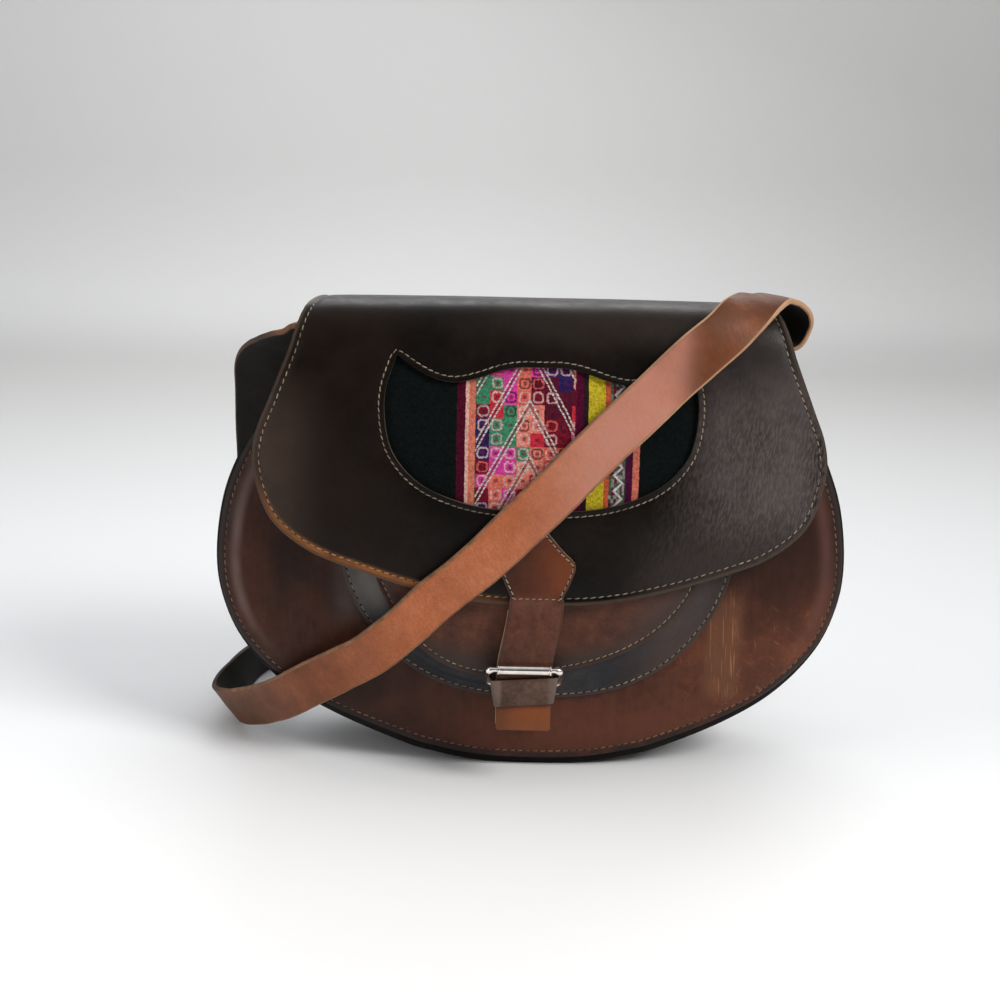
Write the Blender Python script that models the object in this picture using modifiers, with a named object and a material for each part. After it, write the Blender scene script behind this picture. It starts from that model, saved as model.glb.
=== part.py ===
"""Leather crossbody bag with a half-moon body, a rounded flap with a woven inset, a buckled closure strap,
a front pocket and one long shoulder strap.

X runs to the right as the bag is looked at, the front faces -Y and +Z is up. The origin is the middle of the
flat stretch that the bag stands on. Each sewn layer is a surface with a leather thickness, and neighbouring
layers keep a small gap.
"""

import math

import bmesh
import bpy
from mathutils import Matrix, Vector

MM = 0.001

# Body
BODY_HALF_WIDTH = 137.5 * MM
BODY_HEIGHT = 198 * MM
BASE_HALF_DEPTH = 33 * MM
TOP_HALF_DEPTH = 23 * MM
FRONT_BULGE = 9 * MM
BACK_BULGE = 3 * MM
BULGE_POWER = 3.5
PANEL_LEATHER = 2.0 * MM
BODY_CENTRE_SHARE = 0.5
ROUNDING = 1e-6
BODY_OUTLINE_SHARES = (
    (0.22, 0.0), (0.42, 0.045), (0.633, 0.111), (0.80, 0.185), (0.924, 0.283), (0.985, 0.385),
    (1.0, 0.485), (0.977, 0.606), (0.925, 0.705), (0.85, 0.803), (0.79, 0.90), (0.757, 1.0),
)
MOUTH_SHARES = (0.5, 0.0, -0.5)
PANEL_RING_SHARES = (1.0, 0.95, 0.87, 0.74, 0.55, 0.35, 0.16)

# Gusset, the strip round the sides and the bottom, with both margins turned outwards and sewn to the panels
GUSSET_LEATHER = 1.8 * MM
SEAM_MARGIN = 7 * MM
SEAM_GAP = 0.45 * MM
FOLD_DEPTH = 2.5 * MM
SIDE_BELLY = 3 * MM
BASE_FADE = 45 * MM
WALL_SHARES = (-0.9, -0.6, 0.0, 0.6, 0.9)
FLAT_SHARE = 0.6

# Gap between layers that are sewn together
LAYER_GAP = 0.35 * MM

# Front pocket: a face on a slanted rim
POCKET_HALF_WIDTH = 86 * MM
POCKET_BOTTOM = 35.5 * MM
POCKET_TOP = 140 * MM
POCKET_DEPTH = 8.5 * MM
POCKET_SIDE_DEPTH = 4.6 * MM
POCKET_SIDE_POWER = 4
POCKET_LEATHER = 1.8 * MM
POCKET_RIM_LEATHER = 1.2 * MM
POCKET_MARGIN = 3.5 * MM
POCKET_RISE = 13 * MM
POCKET_OUTLINE_SHARES = (
    (0.0, 0.0), (0.29, 0.018), (0.52, 0.075), (0.72, 0.185),
    (0.88, 0.35), (0.97, 0.52), (1.0, 0.70), (0.985, 1.0),
)
POCKET_RING_SHARES = (1.0, 0.93, 0.8, 0.6, 0.36, 0.14)
POCKET_CENTRE_SHARE = 0.62

# Flap: a sheet that leaves the back at the hinge line, goes over the mouth and hangs down in front
FLAP_INSET = 15 * MM
FLAP_BOTTOM = 82.8 * MM
FLAP_RISE = 8.5 * MM
FLAP_HALF_WIDTH = BODY_HALF_WIDTH - FLAP_INSET
FLAP_TOP = BODY_HEIGHT + FLAP_RISE
FLAP_LEATHER = 2.0 * MM
LINING_LEATHER = 1.3 * MM
CLOTH = 0.8 * MM
FLAP_CLEARANCE = 0.8 * MM
FLAP_EDGE_FALL = 13 * MM
FLAP_FALL_POWER = 3
FLAP_FALL_FADE = 60 * MM
FLAP_SHOULDER = 12 * MM
FLAP_STAND = 3.6 * MM
CROWN_SIDE_FALL = 1.2 * MM
HINGE_RISE = 1.6 * MM
HINGE_EASE = 2.0 * MM
HINGE_SLOPE = math.radians(30)
LINING_SETBACK = 5 * MM
CROWN_SHARES = ((0.12, 0.52), (0.27, 0.84), (0.46, 0.98), (0.65, 1.0), (0.82, 0.80), (0.94, 0.10))
FLAP_FRONT_SHARES = (0.0, 0.12, 0.28, 0.46, 0.64, 0.82, 1.0)
FLAP_OUTLINE_SHARES = (
    (0.0, 0.0), (0.22, 0.008), (0.44, 0.050), (0.655, 0.110), (0.79, 0.155), (0.906, 0.228), (0.965, 0.31),
    (1.0, 0.45), (0.985, 0.56), (0.935, 0.68), (0.87, 0.84),
)
SHOULDER_WIDTH_SHARE = 0.85
SHOULDER_SHARES = (0.5, 1.0)
TIP_EASE = 5 * MM
CROWN_WIDTH_SHARE = 0.79
CROWN_WIDTH_POWER = 3
CROWN_ROW_SHARES = (0.96, 0.92, 0.88, 0.84, 0.8, 0.76, 0.72, 0.67, 0.6, 0.5, 0.4, 0.3, 0.2, 0.1, 0.0)
FLAP_RING_SHARES = (0.0, 0.12, 0.26, 0.42, 0.58, 0.72, 0.86, 1.0)
CLOTH_RING_SHARE = 0.12
LINING_CLOSED_SHARE = 0.48

# Window in the flap, a wave with two tips
WINDOW_HALF_WIDTH = 67.5 * MM
WINDOW_DROP = 17.5 * MM
WINDOW_MARGIN = 36.7 * MM
WINDOW_TIP = FLAP_TOP - WINDOW_DROP
WINDOW_BOTTOM = FLAP_BOTTOM + WINDOW_MARGIN
WINDOW_SIDE_SHARES = (
    (0.0, 0.0), (0.21, 0.006), (0.42, 0.033), (0.61, 0.090), (0.76, 0.165), (0.88, 0.275), (0.965, 0.42),
    (1.0, 0.62), (0.99, 0.80), (0.925, 1.0),
)
WINDOW_TOP_SHARES = (
    (0.81, 0.93), (0.69, 0.875), (0.56, 0.855), (0.42, 0.88), (0.26, 0.94), (0.13, 0.965), (0.0, 0.965),
)
WINDOW_RING_SHARES = (0.72, 0.45, 0.2)
WINDOW_CENTRE_SHARE = 0.16

# Sewn margin of the flap on the back panel
MARGIN_DROP = 22 * MM
MARGIN_ROW_SHARES = (0.0, 0.3, 0.65, 1.0)
MARGIN_COLUMN_SHARES = (-1.0, -0.9, -0.8, -0.6, -0.3, 0.0, 0.3, 0.6, 0.8, 0.9, 1.0)

# Closure strap and its lining
CLOSURE_LEATHER = 1.8 * MM
CLOSURE_LINING_LEATHER = 1.3 * MM
CLOSURE_HALF_WIDTH = 11.6 * MM
CLOSURE_LINING_SETBACK = 0.6 * MM
CLOSURE_SETTLE = 16 * MM
PATCH_RISE = 35.2 * MM
WAIST_RISE = 2.2 * MM
PATCH_APEX = FLAP_BOTTOM + PATCH_RISE
PATCH_WAIST = FLAP_BOTTOM + WAIST_RISE
PATCH_HALF_WIDTH = 16 * MM
PATCH_SHARES = (
    (1.0, 0.05), (0.85, 0.33), (0.66, 0.67), (0.52, 0.97), (0.42, 1.0), (0.22, 0.85), (0.06, 0.70),
)
CLOSURE_COLUMN_SHARES = (-1.0, -0.5, 0.0, 0.5, 1.0)
CLOSURE_ROW = 6 * MM
TIP_CORNER = 1.5 * MM
LINING_START_DROP = 2.2 * MM

# Buckle: a wire frame that hangs in a folded chape, with a loose roller on its upper bar
BUCKLE_WIRE = 2.2 * MM
BUCKLE_SIDE_EASE = 3.9 * MM
BUCKLE_HALF_WIDTH = CLOSURE_HALF_WIDTH + BUCKLE_SIDE_EASE
BUCKLE_CORNER = 2.6 * MM
BUCKLE_PIVOT = 45.5 * MM
BUCKLE_RISE = 10.5 * MM
BUCKLE_TOP = BUCKLE_PIVOT + BUCKLE_RISE
BUCKLE_SHIFT = 4.6 * MM
BUCKLE_STAND = 9.2 * MM
ROLLER_OUTER = 4.2 * MM
ROLLER_INNER = 2.8 * MM
ROLLER_HALF_LENGTH = 11.6 * MM
CHAPE_LEATHER = 1.2 * MM
CHAPE_HALF_WIDTH = 9.5 * MM
CHAPE_EASE = 0.3 * MM
CHAPE_LENGTH = 24.5 * MM
CHAPE_NECK = 14.2 * MM
CHAPE_BOTTOM = BUCKLE_PIVOT - CHAPE_LENGTH
CHAPE_JOIN = BUCKLE_PIVOT - CHAPE_NECK
CHAPE_ARC_DEGREES = (-20, 215)
CHAPE_ARC_STEPS = 12
WIRE_SIDES = 2
CORNER_STEPS = 4
QUARTER_TURN = 90
ROUND_STEPS = 20
MERGE_DISTANCE = 0.01 * MM

# Keeper loop round the closure strap
KEEPER_LEATHER = 1.2 * MM
KEEPER_RISE = 6 * MM
KEEPER_HEIGHT = 12 * MM
KEEPER_TOP = BUCKLE_PIVOT + KEEPER_RISE
TIP_LENGTH = 13.2 * MM
CLOSURE_TIP = KEEPER_TOP - KEEPER_HEIGHT - TIP_LENGTH
KEEPER_EASE = 0.3 * MM
KEEPER_TAPER = 0.5 * MM
KEEPER_CORNER = 1.4 * MM
KEEPER_CORNER_STEPS = 3

# Shoulder strap: one ribbon from the right gusset end, over the flap, round the left side, behind the bag and up to
# the left gusset end. Each station has the strap's middle, in shares of the body's half width, its base half depth
# and its height, and the direction to its upper edge. A missing x lies inside a gusset end, a missing y lies on
# the front, and a missing z lies on the table.
STRAP_WIDTH = 21 * MM
STRAP_LEATHER = 2.5 * MM
STRAP_EASE = 0.5 * MM
STRAP_STEPS = 3
STRAP_ROUTE_SHARES = (
    # Sewn inside the right gusset end, then a roll over the flap's corner
    ((None, 0, 0.81), (0, 1, 0)), ((None, 0, 0.88), (0, 1, 0)), ((None, 0, 0.93), (0, 1, 0)),
    ((None, 0, 0.955), (0, 1, 0)), ((0.752, -0.015, 0.968), (0, 1, 0)),
    ((0.79, -0.045, 0.962), (0, 1, 0)), ((0.823, -0.09, 0.978), (0, 1, 0)),
    ((0.837, -0.15, 1.009), (0, 1, 0)), ((0.829, -0.23, 1.037), (0, 1, 0)),
    ((0.80, -0.30, 1.056), (0, 1, 0)), ((0.76, -0.39, 1.063), (-0.1, 0.99, 0)),
    ((0.713, -0.545, 1.064), (-0.45, 0.89, 0.02)), ((0.665, -0.79, 1.054), (-0.66, 0.69, 0.3)),
    ((0.614, -1.03, 1.026), (-0.7, 0.42, 0.57)),
    # Down across the flap and the shield
    ((0.552, -1.20, 0.99), (-0.71, 0.25, 0.65)), ((0.472, -1.273, 0.945), (-0.72, 0.16, 0.68)),
    ((0.385, None, 0.89), (-0.72, 0.15, 0.68)), ((0.298, None, 0.836), (-0.72, 0.15, 0.68)),
    ((0.19, None, 0.766), (-0.72, 0.12, 0.69)), ((0.081, None, 0.686), (-0.73, 0.09, 0.68)),
    ((-0.05, None, 0.591), (-0.73, 0.08, 0.69)), ((-0.174, None, 0.5), (-0.71, 0.06, 0.7)),
    ((-0.298, None, 0.42), (-0.67, 0.03, 0.74)), ((-0.4, -1.66, 0.359), (-0.63, 0, 0.77)),
    ((-0.515, -1.59, 0.296), (-0.58, -0.05, 0.81)), ((-0.631, -1.45, 0.245), (-0.51, -0.1, 0.85)),
    # Away from the bag, round on the table and back along its left side
    ((-0.726, -1.273, 0.2), (-0.47, -0.12, 0.87)), ((-0.813, -0.97, 0.149), (-0.5, -0.1, 0.86)),
    ((-0.907, -0.53, 0.099), (-0.55, -0.02, 0.83)), ((-0.998, -0.12, 0.062), (-0.6, 0.05, 0.8)),
    ((-1.053, 0.197, None), (-0.61, 0.06, 0.79)), ((-1.066, 0.545, None), (-0.55, 0, 0.83)),
    ((-1.052, 1.03, None), (-0.35, 0, 0.94)), ((-1.035, 1.576, None), (-0.05, 0, 1)),
    # Spare length on its edge behind the bag, with a turn at the right
    ((-0.995, 2.15, None), (0, 0, 1)), ((-0.893, 2.576, None), (0, 0, 1)),
    ((-0.72, 2.758, None), (0, 0, 1)), ((-0.436, 2.773, None), (0, 0, 1)),
    ((-0.11, 2.697, None), (0, 0, 1)), ((0.218, 2.667, None), (0, 0, 1)),
    ((0.495, 2.727, None), (0, 0, 1)), ((0.67, 2.667, None), (0, 0, 1)),
    ((0.769, 2.455, None), (0, 0, 1)), ((0.804, 2.12, None), (0, 0, 1)),
    ((0.769, 1.773, None), (0, 0, 1)), ((0.67, 1.59, None), (0, 0, 1)),
    ((0.436, 1.545, None), (0, 0, 1)), ((0.182, 1.606, None), (0, 0.05, 1)),
    ((-0.058, 1.667, None), (0, 0.3, 0.95)),
    # Laid flat, then up behind the left side
    ((-0.262, 1.727, None), (0, 0.72, 0.69)), ((-0.451, 1.758, None), (0, 0.96, 0.28)),
    ((-0.625, 1.727, None), (-0.05, 1, 0.05)), ((-0.756, 1.62, 0.031), (-0.12, 0.98, 0.05)),
    ((-0.858, 1.47, 0.086), (-0.3, 0.93, 0.1)), ((-0.924, 1.303, 0.182), (-0.55, 0.8, 0.1)),
    ((-0.956, 1.182, 0.303), (-0.8, 0.56, 0)), ((-0.962, 1.109, 0.424), (-0.94, 0.3, 0)),
    ((-0.96, 1.045, 0.556), (-1, 0.08, 0)), ((-0.956, 0.982, 0.687), (-1, 0, 0)),
    ((-0.951, 0.897, 0.798), (-1, -0.02, 0)),
    # Over the left gusset end and sewn inside it
    ((-0.943, 0.776, 0.858), (-0.99, -0.06, 0.08)), ((-0.922, 0.59, 0.90), (-0.88, -0.36, 0.22)),
    ((-0.884, 0.379, 0.928), (-0.6, -0.75, 0.25)), ((-0.829, 0.167, 0.956), (-0.28, -0.94, 0.18)),
    ((-0.778, 0.045, 0.975), (-0.05, -1, 0.03)), ((None, 0, 0.961), (0, -1, 0)),
    ((None, 0, 0.93), (0, -1, 0)), ((None, 0, 0.88), (0, -1, 0)), ((None, 0, 0.81), (0, -1, 0)),
)
STRAP_SEAT_SHARES = (-1.0, -0.5, 0.0, 0.5, 1.0)

SHARP_ANGLE = math.radians(38)
COLLECTION = "leather_crossbody_bag"


def smooth(share):
    """Ease from 0 to 1 with level ends."""
    share = min(max(share, 0.0), 1.0)
    return share * share * (3 - 2 * share)


def mix(a, b, share):
    return a + (b - a) * share


def smooth_curve(points, steps, before=None, after=None):
    """Points of a smooth curve through the given ones, with the same number of steps in each span."""
    first = before if before is not None else 2 * points[0] - points[1]
    last = after if after is not None else 2 * points[-1] - points[-2]
    ends = [first, *points, last]
    curve = []
    for a, b, c, d in zip(ends, ends[1:], ends[2:], ends[3:]):
        for step in range(steps):
            t = step / steps
            bend = (2 * a - 5 * b + 4 * c - d) * t**2
            twist = (3 * b - a - 3 * c + d) * t**3
            curve.append(0.5 * (2 * b + (c - a) * t + bend + twist))
    curve.append(points[-1].copy())
    return curve


def mirrored_ring(half, across):
    """A closed outline from its right half, which starts on the middle line, and the points across."""
    left = [Vector((-p.x, p.y)) for p in reversed(half[1:])]
    return half + across + left


def scaled_ring(ring, centre, share):
    return [centre + (p - centre) * share for p in ring]


# Body outline and faces

def body_outline():
    points = [Vector((a * BODY_HALF_WIDTH, b * BODY_HEIGHT)) for a, b in BODY_OUTLINE_SHARES]
    side = smooth_curve(points, 2, before=Vector((-points[0].x, 0)))
    across = [Vector((share * side[-1].x, BODY_HEIGHT)) for share in MOUTH_SHARES]
    return mirrored_ring([Vector((0, 0)), *side], across)


BODY_OUTLINE = body_outline()
BODY_CENTRE = Vector((0, BODY_CENTRE_SHARE * BODY_HEIGHT))


def body_share(x, z):
    """0 at the middle of the body and 1 on its outline, along the ray through the point."""
    ray = Vector((x, z)) - BODY_CENTRE
    for a, b in zip(BODY_OUTLINE, BODY_OUTLINE[1:] + BODY_OUTLINE[:1]):
        start = a - BODY_CENTRE
        edge = b - a
        turn = ray.x * edge.y - ray.y * edge.x
        if not turn:
            continue
        reach = (start.x * edge.y - start.y * edge.x) / turn
        along = (start.x * ray.y - start.y * ray.x) / turn
        if reach > 0 and -ROUNDING <= along <= 1 + ROUNDING:
            return min(1 / reach, 1.0)
    return 0.0


def half_depth(z):
    return mix(BASE_HALF_DEPTH, TOP_HALF_DEPTH, smooth(z / BODY_HEIGHT))


def front_y(x, z):
    """The front panel's outer face."""
    return -half_depth(z) - FRONT_BULGE * (1 - body_share(x, z) ** BULGE_POWER)


def back_y(x, z):
    """The back panel's outer face."""
    return half_depth(z) + BACK_BULGE * (1 - body_share(x, z) ** BULGE_POWER)


# Building blocks

def material(name, colour, metallic=0.0, roughness=0.55):
    made = bpy.data.materials.new(name)
    made.use_nodes = True
    shader = made.node_tree.nodes["Principled BSDF"]
    shader.inputs["Base Color"].default_value = (*colour, 1)
    shader.inputs["Metallic"].default_value = metallic
    shader.inputs["Roughness"].default_value = roughness
    return made


def add_part(name, mesh, finish, origin=Vector()):
    """One named sub-part, with its origin at the given point."""
    mesh.transform(Matrix.Translation(-origin))
    part = bpy.data.objects.new(name, mesh)
    part.location = origin
    mesh.materials.append(finish)
    mesh.shade_smooth()
    mesh.set_sharp_from_angle(angle=SHARP_ANGLE)
    parts.objects.link(part)
    return part


def loft(name, rings, closed, centre=None, flip=False):
    """An open surface between rows of points, closed round each row or not, with a fan to the centre."""
    shape = bmesh.new()
    rows = [[shape.verts.new(p) for p in ring] for ring in rings]
    for low, high in zip(rows, rows[1:]):
        last = len(low) if closed else len(low) - 1
        for i in range(last):
            j = (i + 1) % len(low)
            shape.faces.new((low[i], low[j], high[j], high[i]))
    if centre is not None:
        middle = shape.verts.new(centre)
        inner = rows[-1]
        for i, vert in enumerate(inner):
            shape.faces.new((vert, inner[(i + 1) % len(inner)], middle))
    if flip:
        bmesh.ops.reverse_faces(shape, faces=shape.faces)
    mesh = bpy.data.meshes.new(name)
    shape.to_mesh(mesh)
    shape.free()
    return mesh


def leather(name, mesh, thickness, finish, origin=Vector(), offset=-1.0):
    """A sewn sheet: the surface is its outer face, or its middle where the offset is 0."""
    part = add_part(name, mesh, finish, origin)
    solid = part.modifiers.new("thickness", "SOLIDIFY")
    solid.thickness = thickness
    solid.offset = offset
    solid.use_even_offset = True
    return part


def solid_loft(name, sections):
    """A closed solid through sections of equal point counts."""
    shape = bmesh.new()
    rows = [[shape.verts.new(p) for p in section] for section in sections]
    for low, high in zip(rows, rows[1:]):
        for i in range(len(low)):
            j = (i + 1) % len(low)
            shape.faces.new((low[i], low[j], high[j], high[i]))
    shape.faces.new(rows[0])
    shape.faces.new(rows[-1])
    bmesh.ops.recalc_face_normals(shape, faces=shape.faces)
    mesh = bpy.data.meshes.new(name)
    shape.to_mesh(mesh)
    shape.free()
    return mesh


# Body pieces

def panel(name, face_y, flip, finish):
    rings = [
        [Vector((p.x, face_y(p.x, p.y), p.y)) for p in scaled_ring(BODY_OUTLINE, BODY_CENTRE, share)]
        for share in PANEL_RING_SHARES
    ]
    centre = Vector((BODY_CENTRE.x, face_y(BODY_CENTRE.x, BODY_CENTRE.y), BODY_CENTRE.y))
    mesh = loft(name, rings, closed=True, centre=centre, flip=flip)
    return leather(name, mesh, PANEL_LEATHER, finish)


def gusset_stations():
    """Points along the body's outline from the right end to the left, with their outward directions."""
    half = len(BODY_OUTLINE) - len(MOUTH_SHARES)
    right = BODY_OUTLINE[: half // 2 + 1]
    run = [Vector((-p.x, p.y)) for p in reversed(right[1:])] + right
    stations = []
    for i in range(1, len(run) - 1):
        along = run[i + 1] - run[i - 1]
        stations.append((run[i], Vector((along.y, -along.x)).normalized()))
    return stations


def gusset_row(point, outward):
    """One cross-section of the gusset's middle surface, from its front edge to its back edge."""
    base = 1 - smooth(point.y / BASE_FADE)
    inner = point - outward * SEAM_MARGIN
    gap = PANEL_LEATHER + SEAM_GAP + GUSSET_LEATHER / 2
    front = [(point, front_y(point.x, point.y) + gap), (inner, front_y(inner.x, inner.y) + gap)]
    back = [(inner, back_y(inner.x, inner.y) - gap), (point, back_y(point.x, point.y) - gap)]
    wall_front = front[1][1] + FOLD_DEPTH
    wall_back = back[0][1] - FOLD_DEPTH
    wall = []
    for share in WALL_SHARES:
        side_inset = SEAM_MARGIN - SIDE_BELLY * (1 - share**2)
        past = max(abs(share) - FLAT_SHARE, 0) / (1 - FLAT_SHARE)
        base_inset = mix(GUSSET_LEATHER / 2, SEAM_MARGIN, past**2)
        inset = mix(side_inset, base_inset, base)
        wall.append((point - outward * inset, mix(wall_front, wall_back, (share + 1) / 2)))
    return [Vector((p.x, y, p.y)) for p, y in front + wall + back]


def make_gusset(finish):
    rows = [gusset_row(point, outward) for point, outward in gusset_stations()]
    return leather("gusset", loft("gusset", rows, closed=False), GUSSET_LEATHER, finish, offset=0.0)


# Front pocket

def pocket_outline(inset):
    """The pocket's outline, drawn in by the inset at the sides and the bottom."""
    width = POCKET_HALF_WIDTH - inset
    low = POCKET_BOTTOM + inset
    points = [Vector((a * width, mix(low, POCKET_TOP, b))) for a, b in POCKET_OUTLINE_SHARES]
    return smooth_curve(points, 2, before=Vector((-points[1].x, points[1].y)))


def pocket_face_y(x, z):
    """The pocket face's outer surface."""
    side = min(abs(x) / POCKET_HALF_WIDTH, 1.0) ** POCKET_SIDE_POWER
    return front_y(x, z) - mix(POCKET_DEPTH, POCKET_SIDE_DEPTH, side)


def make_pocket_face(finish):
    half = pocket_outline(POCKET_RISE)
    across = [Vector((share * half[-1].x, POCKET_TOP)) for share in MOUTH_SHARES]
    ring = mirrored_ring(half, across)
    centre = Vector((0, mix(POCKET_BOTTOM, POCKET_TOP, POCKET_CENTRE_SHARE)))
    rings = [
        [Vector((p.x, pocket_face_y(p.x, p.y), p.y)) for p in scaled_ring(ring, centre, share)]
        for share in POCKET_RING_SHARES
    ]
    middle = Vector((centre.x, pocket_face_y(centre.x, centre.y), centre.y))
    mesh = loft("pocket_face", rings, closed=True, centre=middle)
    return leather("pocket_face", mesh, POCKET_LEATHER, finish)


def make_pocket_rim(finish):
    """The slanted strip from the front panel up to the pocket face, with a sewn margin at each edge."""
    panel_gap = LAYER_GAP + POCKET_RIM_LEATHER / 2
    face_gap = POCKET_LEATHER + LAYER_GAP + POCKET_RIM_LEATHER / 2
    lines = (
        (0, lambda x, z: front_y(x, z) - panel_gap),
        (POCKET_MARGIN, lambda x, z: front_y(x, z) - panel_gap),
        (POCKET_RISE, lambda x, z: pocket_face_y(x, z) + face_gap),
        (POCKET_RISE + POCKET_MARGIN, lambda x, z: pocket_face_y(x, z) + face_gap),
    )
    rows = []
    for inset, height in lines:
        half = pocket_outline(inset)
        run = [Vector((-p.x, p.y)) for p in reversed(half[1:])] + half
        rows.append([Vector((p.x, height(p.x, p.y), p.y)) for p in run])
    mesh = loft("pocket_rim", rows, closed=False)
    return leather("pocket_rim", mesh, POCKET_RIM_LEATHER, finish, offset=0.0)


# Flap

HINGE_Y = TOP_HALF_DEPTH + LAYER_GAP + FLAP_LEATHER / 2
HINGE_Z = BODY_HEIGHT + HINGE_RISE
HINGE = Vector((0, HINGE_Y, HINGE_Z))
FLAP_STACK = FLAP_LEATHER + LAYER_GAP + CLOTH + LAYER_GAP + LINING_LEATHER


def flap_front(z):
    """The flap's outer face on the middle line, over the pocket and the front panel."""
    past = smooth((z - POCKET_TOP) / (BODY_HEIGHT - POCKET_TOP))
    stand = mix(POCKET_DEPTH, FLAP_STAND, past)
    return front_y(0, z) - stand - FLAP_CLEARANCE - FLAP_STACK


def flap_profile():
    """The flap's outer face in the plane x = 0, from the hinge to the bottom edge, as (y, z) points."""
    outward = Vector((math.sin(HINGE_SLOPE), math.cos(HINGE_SLOPE)))
    start = Vector((HINGE_Y, HINGE_Z)) + outward * FLAP_LEATHER / 2
    shoulder_z = FLAP_TOP - FLAP_SHOULDER
    shoulder = Vector((flap_front(shoulder_z), shoulder_z))
    points = [start]
    for across, rise in CROWN_SHARES:
        points.append(Vector((mix(start.x, shoulder.x, across), mix(start.y, FLAP_TOP, rise))))
    for share in FLAP_FRONT_SHARES:
        z = mix(shoulder_z, FLAP_BOTTOM, share)
        points.append(Vector((flap_front(z), z)))
    along = Vector((-math.cos(HINGE_SLOPE), math.sin(HINGE_SLOPE)))
    return smooth_curve(points, 4, before=start - along * (points[1] - start).length)


FLAP_PROFILE = flap_profile()
FLAP_RUN = [0.0]
for near, far in zip(FLAP_PROFILE, FLAP_PROFILE[1:]):
    FLAP_RUN.append(FLAP_RUN[-1] + (far - near).length)


def flap_at(run):
    """The point and the outward direction of the flap's profile at a distance along it from the hinge."""
    last = len(FLAP_RUN) - 2
    i = next((k for k in range(last + 1) if FLAP_RUN[k + 1] >= run), last)
    share = (run - FLAP_RUN[i]) / (FLAP_RUN[i + 1] - FLAP_RUN[i])
    point = mix(FLAP_PROFILE[i], FLAP_PROFILE[i + 1], share)

    def direction(k):
        step = FLAP_PROFILE[min(k + 1, len(FLAP_PROFILE) - 1)] - FLAP_PROFILE[max(k - 1, 0)]
        return Vector((step.y, -step.x)).normalized()

    return point, mix(direction(i), direction(i + 1), share).normalized()


def run_at_height(z):
    """The distance along the profile at which the hanging front has the given height."""
    for i in range(len(FLAP_PROFILE) - 1, 0, -1):
        low, high = FLAP_PROFILE[i], FLAP_PROFILE[i - 1]
        if low.y <= z <= high.y:
            return mix(FLAP_RUN[i], FLAP_RUN[i - 1], (z - low.y) / (high.y - low.y))
    return FLAP_RUN[-1]


SHOULDER_RUN = run_at_height(FLAP_TOP - FLAP_SHOULDER)


def flap_point(x, run, depth=0.0):
    """A point of the flap at x and a distance from the hinge, a depth under its outer face."""
    point, outward = flap_at(run)
    front = smooth((run - SHOULDER_RUN) / FLAP_FALL_FADE)
    side = (abs(x) / FLAP_HALF_WIDTH) ** FLAP_FALL_POWER
    spot = point - outward * depth
    fall, drop = FLAP_EDGE_FALL * side * front, CROWN_SIDE_FALL * side * (1 - front)
    return Vector((x, spot.x + fall, spot.y - drop))


def flap_outline():
    """The hanging front's outline from the bottom's middle to the shoulder, as (x, run) points."""
    drop = FLAP_TOP - FLAP_BOTTOM
    hanging = [Vector((a * FLAP_HALF_WIDTH, FLAP_BOTTOM + b * drop)) for a, b in FLAP_OUTLINE_SHARES]
    hanging.append(Vector((SHOULDER_WIDTH_SHARE * FLAP_HALF_WIDTH, FLAP_TOP - FLAP_SHOULDER)))
    side = smooth_curve(hanging, 3, before=Vector((-hanging[1].x, hanging[1].y)))
    return [Vector((p.x, run_at_height(p.y))) for p in side]


def even_points(line, count):
    """The line resampled to count points at even distances, both ends kept."""
    lengths = [0.0]
    for near, far in zip(line, line[1:]):
        lengths.append(lengths[-1] + (far - near).length)
    spots = []
    for step in range(count):
        want = lengths[-1] * step / (count - 1)
        i = next((k for k in range(len(line) - 1) if lengths[k + 1] >= want), len(line) - 2)
        spots.append(mix(line[i], line[i + 1], (want - lengths[i]) / (lengths[i + 1] - lengths[i])))
    return spots


def flap_rings():
    """Rings from the hanging front's outline, straight across its shoulder, in to the window."""
    rise = WINDOW_TIP - WINDOW_BOTTOM
    side = [Vector((a * WINDOW_HALF_WIDTH, WINDOW_BOTTOM + b * rise)) for a, b in WINDOW_SIDE_SHARES]
    side = smooth_curve(side, 2, before=Vector((-side[1].x, side[1].y)))
    top = [Vector((a * WINDOW_HALF_WIDTH, WINDOW_BOTTOM + b * rise)) for a, b in WINDOW_TOP_SHARES]
    window_half = [Vector((p.x, run_at_height(p.y))) for p in [*side, *top]]
    outer_half = even_points(flap_outline(), len(side) - len(SHOULDER_SHARES))
    corner = outer_half[-1]
    over_tip = side[-1].x + TIP_EASE
    shoulder = [mix(corner.x, over_tip, share) for share in SHOULDER_SHARES]
    shoulder += [over_tip * (1 - (i + 1) / len(top)) for i in range(len(top))]
    outer_half += [Vector((x, corner.y)) for x in shoulder]
    window = mirrored_ring(window_half[:-1], [window_half[-1]])
    outer = mirrored_ring(outer_half[:-1], [outer_half[-1]])
    rings = [[mix(a, b, share) for a, b in zip(window, outer)] for share in reversed(FLAP_RING_SHARES)]
    return rings, len(side) - len(SHOULDER_SHARES) - 1


FLAP_RINGS, SHOULDER_CORNER = flap_rings()
WINDOW = FLAP_RINGS[-1]
WINDOW_CENTRE = Vector((0, run_at_height(mix(WINDOW_BOTTOM, WINDOW_TIP, WINDOW_CENTRE_SHARE))))


def crown_rows(setback):
    """Rows across the crown, from just above the shoulder back to the setback from the hinge line."""
    shoulder = FLAP_RINGS[0][SHOULDER_CORNER : len(FLAP_RINGS[0]) - SHOULDER_CORNER + 1]
    rows = []
    for share in CROWN_ROW_SHARES:
        run = share * SHOULDER_RUN
        half = mix(CROWN_WIDTH_SHARE, SHOULDER_WIDTH_SHARE, share**CROWN_WIDTH_POWER) * FLAP_HALF_WIDTH
        if run >= setback:
            rows.append([Vector((p.x / shoulder[0].x * half, run)) for p in shoulder])
    return rows


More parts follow.
